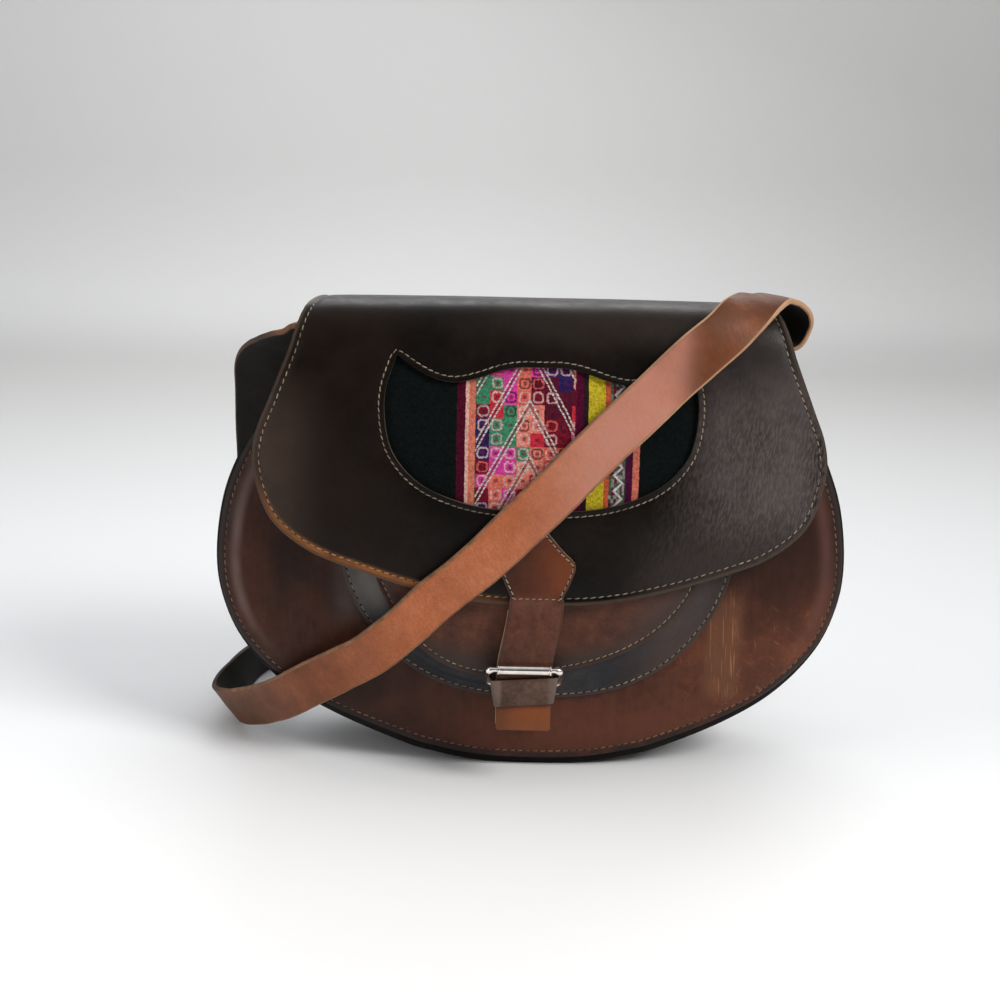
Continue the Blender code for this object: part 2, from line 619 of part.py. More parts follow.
def flap_surface(name, depths, disc_depth=None, setback=0.0):
    """The flap at a depth for each ring, the crown at the first, and a disc over the window if asked."""
    shape = bmesh.new()
    rings = [[flap_point(p.x, p.y, depth) for p in ring] for ring, depth in zip(FLAP_RINGS, depths)]
    if disc_depth is not None:
        for share in WINDOW_RING_SHARES:
            ring = scaled_ring(WINDOW, WINDOW_CENTRE, share)
            rings.append([flap_point(p.x, p.y, disc_depth) for p in ring])
    rows = [[shape.verts.new(p) for p in ring] for ring in rings]
    for low, high in zip(rows, rows[1:]):
        for i in range(len(low)):
            j = (i + 1) % len(low)
            shape.faces.new((low[i], low[j], high[j], high[i]))
    if disc_depth is not None:
        middle = shape.verts.new(flap_point(WINDOW_CENTRE.x, WINDOW_CENTRE.y, disc_depth))
        for i, vert in enumerate(rows[-1]):
            shape.faces.new((vert, rows[-1][(i + 1) % len(rows[-1])], middle))
    low = rows[0][SHOULDER_CORNER : len(rows[0]) - SHOULDER_CORNER + 1]
    for row in crown_rows(setback):
        high = [shape.verts.new(flap_point(p.x, p.y, depths[0])) for p in row]
        for i in range(len(low) - 1):
            shape.faces.new((high[i], high[i + 1], low[i + 1], low[i]))
        low = high
    mesh = bpy.data.meshes.new(name)
    shape.to_mesh(mesh)
    shape.free()
    return mesh


def make_flap(finish):
    mesh = flap_surface("flap_outer", [0.0] * len(FLAP_RINGS))
    return leather("flap_outer", mesh, FLAP_LEATHER, finish, HINGE)


def make_textile(finish):
    """The cloth behind the window, with a margin caught between the flap and its lining."""
    depth = FLAP_LEATHER + LAYER_GAP
    rings = []
    for ring, share in zip(FLAP_RINGS, reversed(FLAP_RING_SHARES)):
        if share <= CLOTH_RING_SHARE:
            rings.append([flap_point(p.x, p.y, depth) for p in ring])
    for share in WINDOW_RING_SHARES:
        rings.append([flap_point(p.x, p.y, depth) for p in scaled_ring(WINDOW, WINDOW_CENTRE, share)])
    centre = flap_point(WINDOW_CENTRE.x, WINDOW_CENTRE.y, depth)
    mesh = loft("textile_inset", rings, closed=True, centre=centre)
    return leather("textile_inset", mesh, CLOTH, finish, HINGE)


def make_lining(finish):
    """The lining lies close behind the flap's edge and makes room for the cloth behind the window."""
    under = FLAP_LEATHER + LAYER_GAP
    depths = []
    for share in reversed(FLAP_RING_SHARES):
        room = 1 - smooth((share - CLOTH_RING_SHARE) / (LINING_CLOSED_SHARE - CLOTH_RING_SHARE))
        depths.append(under + (CLOTH + LAYER_GAP) * room)
    mesh = flap_surface("flap_lining", depths, under + CLOTH + LAYER_GAP, LINING_SETBACK)
    return leather("flap_lining", mesh, LINING_LEATHER, finish, HINGE)


def make_flap_margin(finish):
    """The flap's sewn margin, which runs from just under the hinge line down the back panel."""
    top = HINGE_Z - HINGE_EASE
    rows = []
    for share in MARGIN_ROW_SHARES:
        z = top - MARGIN_DROP * share
        half = CROWN_WIDTH_SHARE * FLAP_HALF_WIDTH
        seat = LAYER_GAP + FLAP_LEATHER / 2
        rows.append([
            Vector((column * half, max(back_y(column * half, min(z, BODY_HEIGHT)) + seat, HINGE_Y), z))
            for column in MARGIN_COLUMN_SHARES
        ])
    return leather("flap_margin", loft("flap_margin", rows, closed=False), FLAP_LEATHER, finish, offset=0.0)


# Closure strap

PIVOT_Y = front_y(0, BUCKLE_PIVOT) - BUCKLE_STAND
CHAPE_RADIUS = BUCKLE_WIRE / 2 + CHAPE_EASE + CHAPE_LEATHER / 2
KEEPER_BACK = PIVOT_Y - CHAPE_RADIUS - CHAPE_LEATHER / 2 - LAYER_GAP
CLOSURE_BACK = KEEPER_BACK - KEEPER_LEATHER - KEEPER_EASE
CLOSURE_Y = CLOSURE_BACK - CLOSURE_LINING_LEATHER - LAYER_GAP - CLOSURE_LEATHER / 2
CLOSURE_FRONT = CLOSURE_Y - CLOSURE_LEATHER / 2
ROLLER_Y = CLOSURE_FRONT - KEEPER_EASE - ROLLER_OUTER / 2


def closure_y(z):
    """The middle of the closure strap's thickness: on the flap, then straight down to the buckle."""
    on_flap = flap_front(max(z, FLAP_BOTTOM)) - LAYER_GAP - CLOSURE_LEATHER / 2
    return mix(on_flap, CLOSURE_Y, smooth((FLAP_BOTTOM - z) / CLOSURE_SETTLE))


def closure_x(z):
    """The middle line of the closure strap, which is pulled aside to the buckle."""
    return -BUCKLE_SHIFT * smooth((PATCH_WAIST - z) / (PATCH_WAIST - KEEPER_TOP))


def strap_heights(top, bottom):
    count = max(round((top - bottom) / CLOSURE_ROW), 1)
    return [mix(top, bottom, i / count) for i in range(count + 1)]


def make_closure_strap(finish):
    """A shield sewn to the flap that goes on as a strap with clipped corners at its tip."""
    rise = PATCH_APEX - PATCH_WAIST
    outline = [(PATCH_WAIST + up * rise, side * PATCH_HALF_WIDTH) for up, side in PATCH_SHARES]
    outline += [(z, CLOSURE_HALF_WIDTH) for z in strap_heights(PATCH_WAIST, CLOSURE_TIP + TIP_CORNER)]
    outline.append((CLOSURE_TIP, CLOSURE_HALF_WIDTH - TIP_CORNER))
    rows = []
    for z, half in outline:
        columns = [closure_x(z) + share * half for share in CLOSURE_COLUMN_SHARES]
        rows.append([Vector((x, closure_y(z), z)) for x in columns])
    mesh = loft("closure_strap", rows, closed=False)
    return leather("closure_strap", mesh, CLOSURE_LEATHER, finish, HINGE, offset=0.0)


def make_closure_lining(finish):
    setback = CLOSURE_LEATHER / 2 + LAYER_GAP + CLOSURE_LINING_LEATHER / 2
    rows = []
    for z in strap_heights(FLAP_BOTTOM - LINING_START_DROP, CLOSURE_TIP + TIP_CORNER):
        half = CLOSURE_HALF_WIDTH - CLOSURE_LINING_SETBACK
        y = closure_y(z) + setback
        rows.append([Vector((closure_x(z) + share * half, y, z)) for share in CLOSURE_COLUMN_SHARES])
    mesh = loft("closure_strap_lining", rows, closed=False)
    return leather("closure_strap_lining", mesh, CLOSURE_LINING_LEATHER, finish, HINGE, offset=0.0)


# Buckle

def arc(centre, radius, start, end, steps):
    """Points on an arc in a plane, with its angles in degrees."""
    angles = [math.radians(mix(start, end, i / steps)) for i in range(steps + 1)]
    return [centre + Vector((math.cos(a), math.sin(a))) * radius for a in angles]


def make_buckle_frame(finish):
    """A rounded rectangle of wire, from the chape's bar up to the roller's bar."""
    pivot = Vector((-BUCKLE_SHIFT, PIVOT_Y, BUCKLE_PIVOT))
    rise = Vector((-BUCKLE_SHIFT, ROLLER_Y, BUCKLE_TOP)) - pivot
    up = rise.normalized()
    side = BUCKLE_HALF_WIDTH - BUCKLE_CORNER
    loop = []
    top = rise.length - BUCKLE_CORNER
    for turn, spot in enumerate(((side, top), (-side, top), (-side, BUCKLE_CORNER), (side, BUCKLE_CORNER))):
        start = turn * QUARTER_TURN
        loop += arc(Vector(spot), BUCKLE_CORNER, start, start + QUARTER_TURN, CORNER_STEPS)
    curve = bpy.data.curves.new("buckle_frame_path", "CURVE")
    curve.dimensions = "3D"
    curve.bevel_depth = BUCKLE_WIRE / 2
    curve.bevel_resolution = WIRE_SIDES
    spline = curve.splines.new("POLY")
    spline.points.add(len(loop) - 1)
    spline.use_cyclic_u = True
    for point, spot in zip(spline.points, loop):
        point.co = (*(pivot + Vector((spot.x, 0, 0)) + up * spot.y), 1)
    guide = bpy.data.objects.new("buckle_frame_path", curve)
    parts.objects.link(guide)
    mesh = bpy.data.meshes.new_from_object(guide.evaluated_get(bpy.context.evaluated_depsgraph_get()))
    bpy.data.objects.remove(guide)
    return add_part("buckle_frame", mesh, finish, pivot)


def make_buckle_roller(finish):
    """A short tube turned round the frame's upper bar."""
    shape = bmesh.new()
    outer, inner, half = ROLLER_OUTER / 2, ROLLER_INNER / 2, ROLLER_HALF_LENGTH
    corners = [(outer, half), (outer, -half), (inner, -half), (inner, half)]
    ring = [shape.verts.new((radius, 0, along)) for radius, along in corners]
    for i, vert in enumerate(ring):
        shape.edges.new((vert, ring[(i + 1) % len(ring)]))
    mesh = bpy.data.meshes.new("buckle_roller")
    shape.to_mesh(mesh)
    shape.free()
    part = add_part("buckle_roller", mesh, finish)
    screw = part.modifiers.new("turn", "SCREW")
    screw.steps = screw.render_steps = ROUND_STEPS
    screw.use_merge_vertices = True
    screw.merge_threshold = MERGE_DISTANCE
    part.location = (-BUCKLE_SHIFT, ROLLER_Y, BUCKLE_TOP)
    part.rotation_euler = (0, math.radians(90), 0)
    return part


def make_chape(finish):
    """A strip folded over the frame's lower bar, with both legs sewn to the front panel."""
    seat = LAYER_GAP + CHAPE_LEATHER / 2
    pivot = Vector((PIVOT_Y, BUCKLE_PIVOT))
    middle = (CHAPE_BOTTOM + CHAPE_JOIN) / 2

    def leg(z, layer):
        return Vector((front_y(0, z) - seat - layer * (CHAPE_LEATHER + LAYER_GAP), z))

    back = [leg(CHAPE_BOTTOM, 0), leg(middle, 0), leg(CHAPE_JOIN, 0)]
    front = [leg(CHAPE_JOIN, 1), leg(middle, 1), leg(CHAPE_BOTTOM, 1)]
    path = back + arc(pivot, CHAPE_RADIUS, *CHAPE_ARC_DEGREES, CHAPE_ARC_STEPS) + front
    edges = (-BUCKLE_SHIFT - CHAPE_HALF_WIDTH, CHAPE_HALF_WIDTH - BUCKLE_SHIFT)
    rows = [[Vector((x, p.x, p.y)) for p in path] for x in edges]
    mesh = loft("buckle_chape", rows, closed=False)
    return leather("buckle_chape", mesh, CHAPE_LEATHER, finish, offset=0.0)


def make_keeper(finish):
    """A band round the closure strap, a little narrower at its lower edge."""
    back = KEEPER_BACK - KEEPER_LEATHER / 2
    front = CLOSURE_FRONT - KEEPER_EASE - KEEPER_LEATHER / 2
    rows = []
    for z, taper in ((KEEPER_TOP - KEEPER_HEIGHT, KEEPER_TAPER), (KEEPER_TOP, 0)):
        half = CLOSURE_HALF_WIDTH + KEEPER_EASE + KEEPER_TAPER + KEEPER_LEATHER / 2 - taper
        x, corner = half - KEEPER_CORNER, KEEPER_CORNER
        loop = []
        spots = ((x, back - corner), (-x, back - corner), (-x, front + corner), (x, front + corner))
        for turn, spot in enumerate(spots):
            start = turn * QUARTER_TURN
            loop += arc(Vector(spot), corner, start, start + QUARTER_TURN, KEEPER_CORNER_STEPS)
        rows.append([Vector((p.x - BUCKLE_SHIFT, p.y, z)) for p in loop])
    mesh = loft("strap_keeper", rows, closed=True)
    return leather("strap_keeper", mesh, KEEPER_LEATHER, finish, offset=0.0)


def end_seat(z):
    """The x of the strap's middle where it lies inside the right gusset end."""
    low, high = next((a, b) for a, b in zip(BODY_OUTLINE, BODY_OUTLINE[1:]) if a.y <= z <= b.y)
    outline = mix(low.x, high.x, (z - low.y) / (high.y - low.y))
    wall_half = half_depth(z) - PANEL_LEATHER - SEAM_GAP - GUSSET_LEATHER / 2 - FOLD_DEPTH
    wall_inset = SEAM_MARGIN - SIDE_BELLY * (1 - (STRAP_WIDTH / 2 / wall_half) ** 2)
    inset = wall_inset + GUSSET_LEATHER / 2 + STRAP_EASE + STRAP_LEATHER / 2
    return outline - inset * (high - low).length / (high.y - low.y)


def front_cover(x, z):
    """The outermost surface on the bag's front, with the flap's lower edge carried on below it."""
    cover = flap_point(x, run_at_height(max(z, FLAP_BOTTOM))).y
    if abs(x) < PATCH_HALF_WIDTH + STRAP_WIDTH / 2 and z < PATCH_APEX:
        cover = min(cover, closure_y(z) - CLOSURE_LEATHER / 2)
    return cover


def strap_middle(place, edge):
    """A station of the route in the bag's frame."""
    x_share, y_share, z_share = place
    half, thick = STRAP_WIDTH / 2, STRAP_LEATHER / 2
    lie = edge.normalized().z
    on_table = half * lie + thick * math.sqrt(1 - lie**2) + STRAP_EASE
    z = on_table if z_share is None else z_share * BODY_HEIGHT
    if x_share is None:
        return Vector((math.copysign(end_seat(z), edge.y), 0, z))
    x = x_share * BODY_HALF_WIDTH
    if y_share is not None:
        return Vector((x, y_share * BASE_HALF_DEPTH, z))
    reach = [share * half for share in STRAP_SEAT_SHARES]
    seat = min(front_cover(x + edge.x * r, z + edge.z * r) - edge.y * r for r in reach)
    return Vector((x, seat - STRAP_EASE - thick, z))


def make_shoulder_strap(finish):
    directions = [Vector(edge) for _, edge in STRAP_ROUTE_SHARES]
    places = [strap_middle(place, edge) for (place, _), edge in zip(STRAP_ROUTE_SHARES, directions)]
    middles = smooth_curve(places, STRAP_STEPS)
    edges = smooth_curve(directions, STRAP_STEPS)
    sections = []
    for i, middle in enumerate(middles):
        along = (middles[min(i + 1, len(middles) - 1)] - middles[max(i - 1, 0)]).normalized()
        across = (edges[i] - along * edges[i].dot(along)).normalized() * STRAP_WIDTH / 2
        out = across.cross(along).normalized() * STRAP_LEATHER / 2
        upper, lower = middle + across, middle - across
        sections.append([upper + out, upper - out, lower - out, lower + out])
    return add_part("shoulder_strap", solid_loft("shoulder_strap", sections), finish)


for old in list(bpy.data.objects):
    bpy.data.objects.remove(old)
parts = bpy.data.collections.new(COLLECTION)
bpy.context.scene.collection.children.link(parts)

red_brown = material("red_brown_leather", (0.16, 0.045, 0.02))
dark_brown = material("dark_brown_leather", (0.035, 0.016, 0.011))
blue_black = material("blue_black_leather", (0.02, 0.018, 0.02))
tan = material("tan_leather", (0.36, 0.13, 0.045))
closure_tan = material("closure_leather", (0.22, 0.07, 0.03))
woven = material("woven_cloth", (0.35, 0.06, 0.10), roughness=0.9)
steel = material("bright_steel", (0.75, 0.74, 0.72), metallic=1.0, roughness=0.25)

panel("front_panel", front_y, False, red_brown)
panel("back_panel", back_y, True, red_brown)
make_gusset(dark_brown)
make_pocket_face(red_brown)
make_pocket_rim(blue_black)
make_flap(dark_brown)
make_textile(woven)
make_lining(tan)
make_flap_margin(dark_brown)
make_closure_strap(closure_tan)
make_closure_lining(tan)
make_buckle_frame(steel)
make_buckle_roller(steel)
make_chape(closure_tan)
make_keeper(dark_brown)
make_shoulder_strap(tan)
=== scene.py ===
"""The looks of a worn leather crossbody bag: a half-moon body, a rounded flap with a woven inset, a front pocket, a
buckled closure strap and one long shoulder strap. Lengths are in metres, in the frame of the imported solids."""

import math
import random

import bpy
import numpy as np
from mathutils import Matrix, Vector, noise


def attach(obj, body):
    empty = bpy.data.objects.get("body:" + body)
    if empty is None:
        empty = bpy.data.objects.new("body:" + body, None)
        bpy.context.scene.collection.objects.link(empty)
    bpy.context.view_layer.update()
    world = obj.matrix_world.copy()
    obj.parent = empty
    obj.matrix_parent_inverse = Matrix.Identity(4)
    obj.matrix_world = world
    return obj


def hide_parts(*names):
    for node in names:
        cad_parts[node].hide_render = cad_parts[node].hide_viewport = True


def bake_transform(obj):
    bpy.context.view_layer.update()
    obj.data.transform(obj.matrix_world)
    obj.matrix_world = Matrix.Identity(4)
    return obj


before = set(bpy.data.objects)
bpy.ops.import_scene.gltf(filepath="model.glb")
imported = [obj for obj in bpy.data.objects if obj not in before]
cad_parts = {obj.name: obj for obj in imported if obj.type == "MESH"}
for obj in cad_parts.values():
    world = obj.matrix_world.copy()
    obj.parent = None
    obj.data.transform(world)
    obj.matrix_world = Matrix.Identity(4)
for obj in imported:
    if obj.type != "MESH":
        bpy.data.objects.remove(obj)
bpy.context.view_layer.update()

MM = 0.001
FRONTWARD, BACKWARD = (0, -1.0, 0), (0, 1.0, 0)

# Camera
CAMERA_PLACE = (-0.0165, -0.6101, 0.2782)
CAMERA_PITCH = math.radians(15)
CAMERA_ROLL = math.radians(1.2)
CAMERA_LENS = 50.0

# Body. Outlines are shares of a half width and of a height
HALF_WIDTH = 137.5 * MM
HEIGHT = 198 * MM
BASE_DEPTH = 33 * MM
TOP_DEPTH = 23 * MM
FRONT_BULGE = 9 * MM
BACK_BULGE = 3 * MM
BULGE_POWER = 3.5
PANEL = 2.0 * MM
OUTLINE = (
    (0.0, 0.0), (0.12, 0.002), (0.22, 0.0095), (0.32, 0.0245), (0.42, 0.045), (0.633, 0.111), (0.80, 0.185),
    (0.924, 0.283), (0.985, 0.385), (1.0, 0.485), (0.977, 0.606), (0.925, 0.705), (0.85, 0.803), (0.79, 0.90),
    (0.757, 1.0),
)
GUSSET = 1.8 * MM
SEAM_MARGIN = 7 * MM
SEAM_GAP = 0.45 * MM
FOLD_DEPTH = 2.5 * MM
SIDE_BELLY = 3 * MM
BASE_FADE = 45 * MM
WALL_FLAT = 0.6
GAP = 0.35 * MM

# Front pocket
POCKET_HALF = 86 * MM
POCKET_BOTTOM = 35.5 * MM
POCKET_TOP = 140 * MM
POCKET_DEPTH = 8.5 * MM
POCKET_SIDE_DEPTH = 4.6 * MM
POCKET_POWER = 4
POCKET_LEATHER = 1.8 * MM
RIM_LEATHER = 1.2 * MM
POCKET_MARGIN = 3.5 * MM
POCKET_RISE = 13 * MM
POCKET_OUTLINE = (
    (0.0, 0.0), (0.29, 0.018), (0.52, 0.075), (0.72, 0.185), (0.88, 0.35), (0.97, 0.52), (1.0, 0.70), (0.985, 1.0),
)

# Flap
FLAP_HALF = 122.5 * MM
FLAP_BOTTOM = 82.8 * MM
FLAP_TOP = 206.5 * MM
FLAP_LEATHER = 2.0 * MM
FLAP_POWER = 3
LINING = 1.3 * MM
LINING_SETBACK = 5 * MM
CLOTH = 0.8 * MM
FLAP_CLEARANCE = 0.8 * MM
FLAP_EDGE_FALL = 13 * MM
FLAP_FALL_FADE = 60 * MM
FLAP_SHOULDER = 12 * MM
FLAP_STAND = 3.6 * MM
CROWN_SIDE_FALL = 1.2 * MM
HINGE_SLOPE = math.radians(30)
HINGE_RISE = 1.6 * MM
HINGE_EASE = 2.0 * MM
MARGIN_DROP = 22 * MM
CROWN = ((0.12, 0.52), (0.27, 0.84), (0.46, 0.98), (0.65, 1.0), (0.82, 0.80), (0.94, 0.10))
FLAP_FRONT = (0.0, 0.12, 0.28, 0.46, 0.64, 0.82, 1.0)
FLAP_OUTLINE = (
    (0.0, 0.0), (0.22, 0.008), (0.44, 0.050), (0.655, 0.110), (0.79, 0.155), (0.906, 0.228), (0.965, 0.31),
    (1.0, 0.45), (0.985, 0.56), (0.935, 0.68), (0.87, 0.84),
)
SHOULDER_WIDTH = 0.85
CROWN_WIDTH = 0.79
WINDOW_HALF = 65.6 * MM
WINDOW_TIP = 186.4 * MM
WINDOW_BOTTOM = 122.8 * MM
WINDOW_SIDE = (
    (0.0, 0.0), (0.21, 0.006), (0.42, 0.033), (0.61, 0.090), (0.76, 0.165), (0.88, 0.275), (0.965, 0.42),
    (1.0, 0.62), (0.99, 0.80), (0.925, 1.0),
)
WINDOW_CROWN = (
    (0.81, 0.921), (0.69, 0.859), (0.56, 0.833), (0.42, 0.859), (0.26, 0.912), (0.13, 0.934), (0.0, 0.934),
)
WINDOW_CUT = 0.6 * MM

# Closure strap, buckle and keeper
CLOSURE = 1.8 * MM
CLOSURE_LINING = 1.3 * MM
CLOSURE_HALF = 11.6 * MM
CLOSURE_SETTLE = 16 * MM
CLOSURE_Y = -55.814 * MM
CLOSURE_TIP = 28.2 * MM
TIP_CORNER = 0.9 * MM
TIP_LIFT, TIP_BEND = 2.2 * MM, 13 * MM
PATCH_APEX = 118.0 * MM
PATCH_WAIST = 85.0 * MM
PATCH_HALF = 16 * MM
PATCH = ((0.05, 1.0), (0.33, 0.85), (0.67, 0.66), (0.97, 0.52), (1.0, 0.42), (0.85, 0.22), (0.70, 0.06), (0.725, 0.0))
BUCKLE_PIVOT = 45.5 * MM
BUCKLE_TOP = 56 * MM
BUCKLE_SHIFT = 4.6 * MM
BUCKLE_HALF_LINE = 15.5 * MM
PIVOT_Y = -48.814 * MM
WIRE, WIRE_SWELL, WIRE_CORNER = 1.1 * MM, 0.55 * MM, 2.6 * MM
ROLLER_Y = -59.114 * MM
ROLLER, ROLLER_BORE, ROLLER_REACH = 2.1 * MM, 1.4 * MM, 11.6 * MM
ROLLER_LIP, ROLLER_CORNER = 0.25 * MM, 0.2 * MM
ROLLER_LIP_PLACES = (0.2 * MM, 0.8 * MM, 1.1 * MM)
KEEPER_BACK = -51.764 * MM
KEEPER_TOP = 51.5 * MM
KEEPER_HEIGHT = 12 * MM
KEEPER = 1.2 * MM
KEEPER_EASE = 0.3 * MM
KEEPER_CORNER = 1.4 * MM
KEEPER_TAPER = (1.6 * MM, -0.2 * MM)
KEEPER_STAND, KEEPER_BOW, KEEPER_SLOPE, KEEPER_FRONT = 0.5 * MM, 0.5 * MM, 1.0 * MM, 2 * MM
CHAPE = 1.2 * MM
CHAPE_HALF = 9.5 * MM
CHAPE_RADIUS = 2.0 * MM
CHAPE_LENGTH = 24.5 * MM
CHAPE_NECK = 14.2 * MM
CHAPE_TURN = (-20, 215)

# Shoulder strap: its middle in millimetres and the direction to its upper edge, along the whole route
STRAP_WIDTH = 21 * MM
STRAP = 2.5 * MM
STRAP_ROUND, STRAP_CUP, STRAP_RIPPLE, STRAP_EDGE_WAVE = 0.85 * MM, 0.35 * MM, 0.22 * MM, 0.35 * MM
STRAP_STATIONS = (
    (107.8, 0, 160.4, 0, 1, 0), (101.9, 0, 174.2, 0, 1, 0), (99.1, 0, 184.1, 0, 1, 0), (98, 0, 189.1, 0, 1, 0),
    (101.6, -0.5, 191.7, 0, 1, 0), (105.6, -1.5, 190.5, -0.25, 0.97, 0), (108.9, -3, 193.6, -0.45, 0.89, 0),
    (110.1, -4.9, 199.8, -0.52, 0.85, 0), (109, -7.6, 205, -0.5, 0.87, 0), (105.8, -9.9, 208.4, -0.4, 0.92, 0),
    (101.3, -12.9, 209.9, -0.34, 0.94, 0), (96, -18, 210.5, -0.45, 0.89, 0.02),
    (89.88, -25.01, 209.4, -0.66, 0.69, 0.3), (82.43, -33.32, 204.7, -0.7, 0.42, 0.57),
    (74.12, -39.47, 197.6, -0.71, 0.25, 0.65), (63.39, -42.17, 188.5, -0.72, 0.16, 0.68),
    (52.04, -41.42, 177, -0.72, 0.15, 0.68), (40.57, -44.51, 165.9, -0.72, 0.15, 0.68),
    (25.81, -47.95, 152, -0.72, 0.12, 0.69), (10.66, -50.55, 136.2, -0.73, 0.09, 0.68),
    (-7.769, -53.5, 117.8, -0.73, 0, 0.69), (-25.32, -54.88, 100.4, -0.71, -0.14, 0.7),
    (-42.61, -53.43, 84.98, -0.67, -0.22, 0.74), (-56.01, -54.8, 72.34, -0.63, -0.2, 0.77),
    (-71.03, -52.52, 58.92, -0.58, -0.19, 0.81), (-86.8, -47.9, 48.5, -0.51, -0.1, 0.85),
    (-99.8, -42, 39.6, -0.47, -0.12, 0.87), (-111.8, -32, 29.5, -0.5, -0.1, 0.86),
    (-124.7, -17.5, 19.6, -0.55, -0.02, 0.83), (-137.2, -4, 12.3, -0.6, 0.05, 0.8),
    (-144.8, 6.5, 9.6, -0.61, 0.06, 0.79), (-146.6, 18, 9.9, -0.55, 0, 0.83), (-144.6, 34, 10.8, -0.35, 0, 0.94),
    (-142.3, 52, 11, -0.05, 0, 1), (-136.8, 71, 11, 0, 0, 1), (-122.8, 85, 11, 0, 0, 1), (-99, 91, 11, 0, 0, 1),
    (-60, 91.5, 11, 0, 0, 1), (-15.1, 89, 11, 0, 0, 1), (30, 88, 11, 0, 0, 1), (68.1, 90, 11, 0, 0, 1),
    (92.1, 88, 11, 0, 0, 1), (105.7, 81, 11, 0, 0, 1), (110.6, 70, 11, 0, 0, 1), (105.7, 58.5, 11, 0, 0, 1),
    (92.1, 52.5, 11, 0, 0, 1), (60, 51, 11, 0, 0, 1), (25, 53, 11, 0, 0.05, 1), (-8, 55, 10.9, 0, 0.3, 0.95),
    (-36, 57, 8.7, 0, 0.72, 0.69), (-62, 58, 4.6, 0, 0.96, 0.28), (-85.9, 57, 2.3, -0.05, 1, 0.05),
    (-104, 53.5, 6.1, -0.12, 0.98, 0.05), (-118, 48.5, 17, -0.3, 0.93, 0.1), (-127, 43, 36, -0.55, 0.8, 0.1),
    (-131.4, 39, 60, -0.8, 0.56, 0), (-132.3, 36.6, 84, -0.94, 0.3, 0), (-132, 34.5, 110.1, -1, 0.08, 0),
    (-131.4, 32.4, 136, -1, 0, 0), (-130.8, 29.6, 158, -1, -0.02, 0), (-129.7, 25.6, 169.9, -0.99, -0.06, 0.08),
    (-124.6, 19.5, 178.2, -0.88, -0.36, 0.22), (-118.4, 12.5, 183.9, -0.6, -0.75, 0.25),
    (-110.8, 5.5, 189.5, -0.28, -0.94, 0.18), (-105, 1.5, 193.1, -0.05, -1, 0.03), (-97.7, 0, 190.3, 0, -1, 0),
    (-99.1, 0, 184.1, 0, -1, 0), (-101.9, 0, 174.2, 0, -1, 0), (-107.8, 0, 160.4, 0, -1, 0),
)

# Threads
STITCH_PITCH = 3.4 * MM
STITCH_LENGTH = 2.4 * MM
STITCH_WIDTH = 0.5 * MM
STITCH_HEIGHT = 0.34 * MM
STITCH_SLANT = 0.13
STITCH_SIDES = 6
STITCH_STATIONS = (
    (-1.0, 0.35, -0.5), (-0.86, 0.8, -0.1), (-0.45, 1.0, 0.22), (0.45, 1.0, 0.22), (0.86, 0.8, -0.1), (1.0, 0.35, -0.5),
)
HOLE, HOLE_SIDES, HOLE_STRETCH = 0.42 * MM, 8, 1.1
HOLE_RIM_LIFT, HOLE_LIFT = 0.05 * MM, 0.1 * MM
FLAP_STITCH = 3.0 * MM
WINDOW_STITCH = 2.2 * MM
BODY_STITCH = 3.0 * MM
POCKET_STITCH = 2.0 * MM
RIM_STITCH = 1.8 * MM
PATCH_STITCH = 1.3 * MM


# Numbers and curves

def smooth(t):
    t = np.clip(t, 0.0, 1.0)
    return t * t * (3 - 2 * t)


def fade(t):
    return 1 - smooth(t)


def dip(distance, place, width):
    """A groove's share of its depth at a distance from its middle."""
    return np.exp(-(((distance - place) / width) ** 2))


def mix(a, b, t):
    return a + (b - a) * t


def millimetres(*values):
    return np.array(values) * MM


def xyz(*parts):
    """Points from their coordinates, each an array or one number for all."""
    return np.stack(np.broadcast_arrays(*parts), -1)


def unit(vectors):
    return vectors / np.linalg.norm(vectors, axis=1)[:, None]


def spline(points, steps, before=None):
    """A smooth curve through the points, with the same number of steps in each span."""
    p = [np.asarray(q, float) for q in points]
    first = 2 * p[0] - p[1] if before is None else np.asarray(before, float)
    ends = [first, *p, 2 * p[-1] - p[-2]]
    out = []
    for a, b, c, d in zip(ends, ends[1:], ends[2:], ends[3:]):
        for step in range(steps):
            t = step / steps
            bend = (2 * a - 5 * b + 4 * c - d) * t**2 + (3 * b - a - 3 * c + d) * t**3
            out.append(0.5 * (2 * b + (c - a) * t + bend))
    return np.array(out + [p[-1]])


def half_outline(shares, half, low, high, steps, end=()):
    """A smooth right half of an outline, which leaves the middle line level."""
    points = [np.array((a * half, mix(low, high, b))) for a, b in shares] + [np.array(p) for p in end]
    return spline(points, steps, before=(-points[1][0], points[1][1]))


def lengths_of(line):
    return np.concatenate([[0.0], np.cumsum(np.linalg.norm(np.diff(line, axis=0), axis=1))])


def resample(line, count):
    run = lengths_of(line)
    want = np.linspace(0, run[-1], count)
    return np.stack([np.interp(want, run, line[:, k]) for k in range(line.shape[1])], axis=1)


def mirrored(half):
    """A closed ring from its right half, which starts and ends on the middle line."""
    return np.vstack([half, half[-2:0:-1] * (-1, 1)])


def both_sides(half):
    """An open line from its right half, which starts on the middle line."""
    return np.vstack([half[:0:-1] * (-1, 1), half])


def drawn_in(ring, centre, inset, share=1.0):
    """A ring drawn in along its rays by a length, then to a share of what is left."""
    ray = ring - centre
    reach = np.linalg.norm(ray, axis=1)
    return centre + ray * ((reach - inset) / reach * share)[:, None]


def offset_line(line, distance, closed=False):
    """A line moved to its left by a distance."""
    along = np.roll(line, -1, axis=0) - np.roll(line, 1, axis=0) if closed else np.gradient(line, axis=0)
    return line + unit(np.stack([-along[:, 1], along[:, 0]], axis=1)) * distance


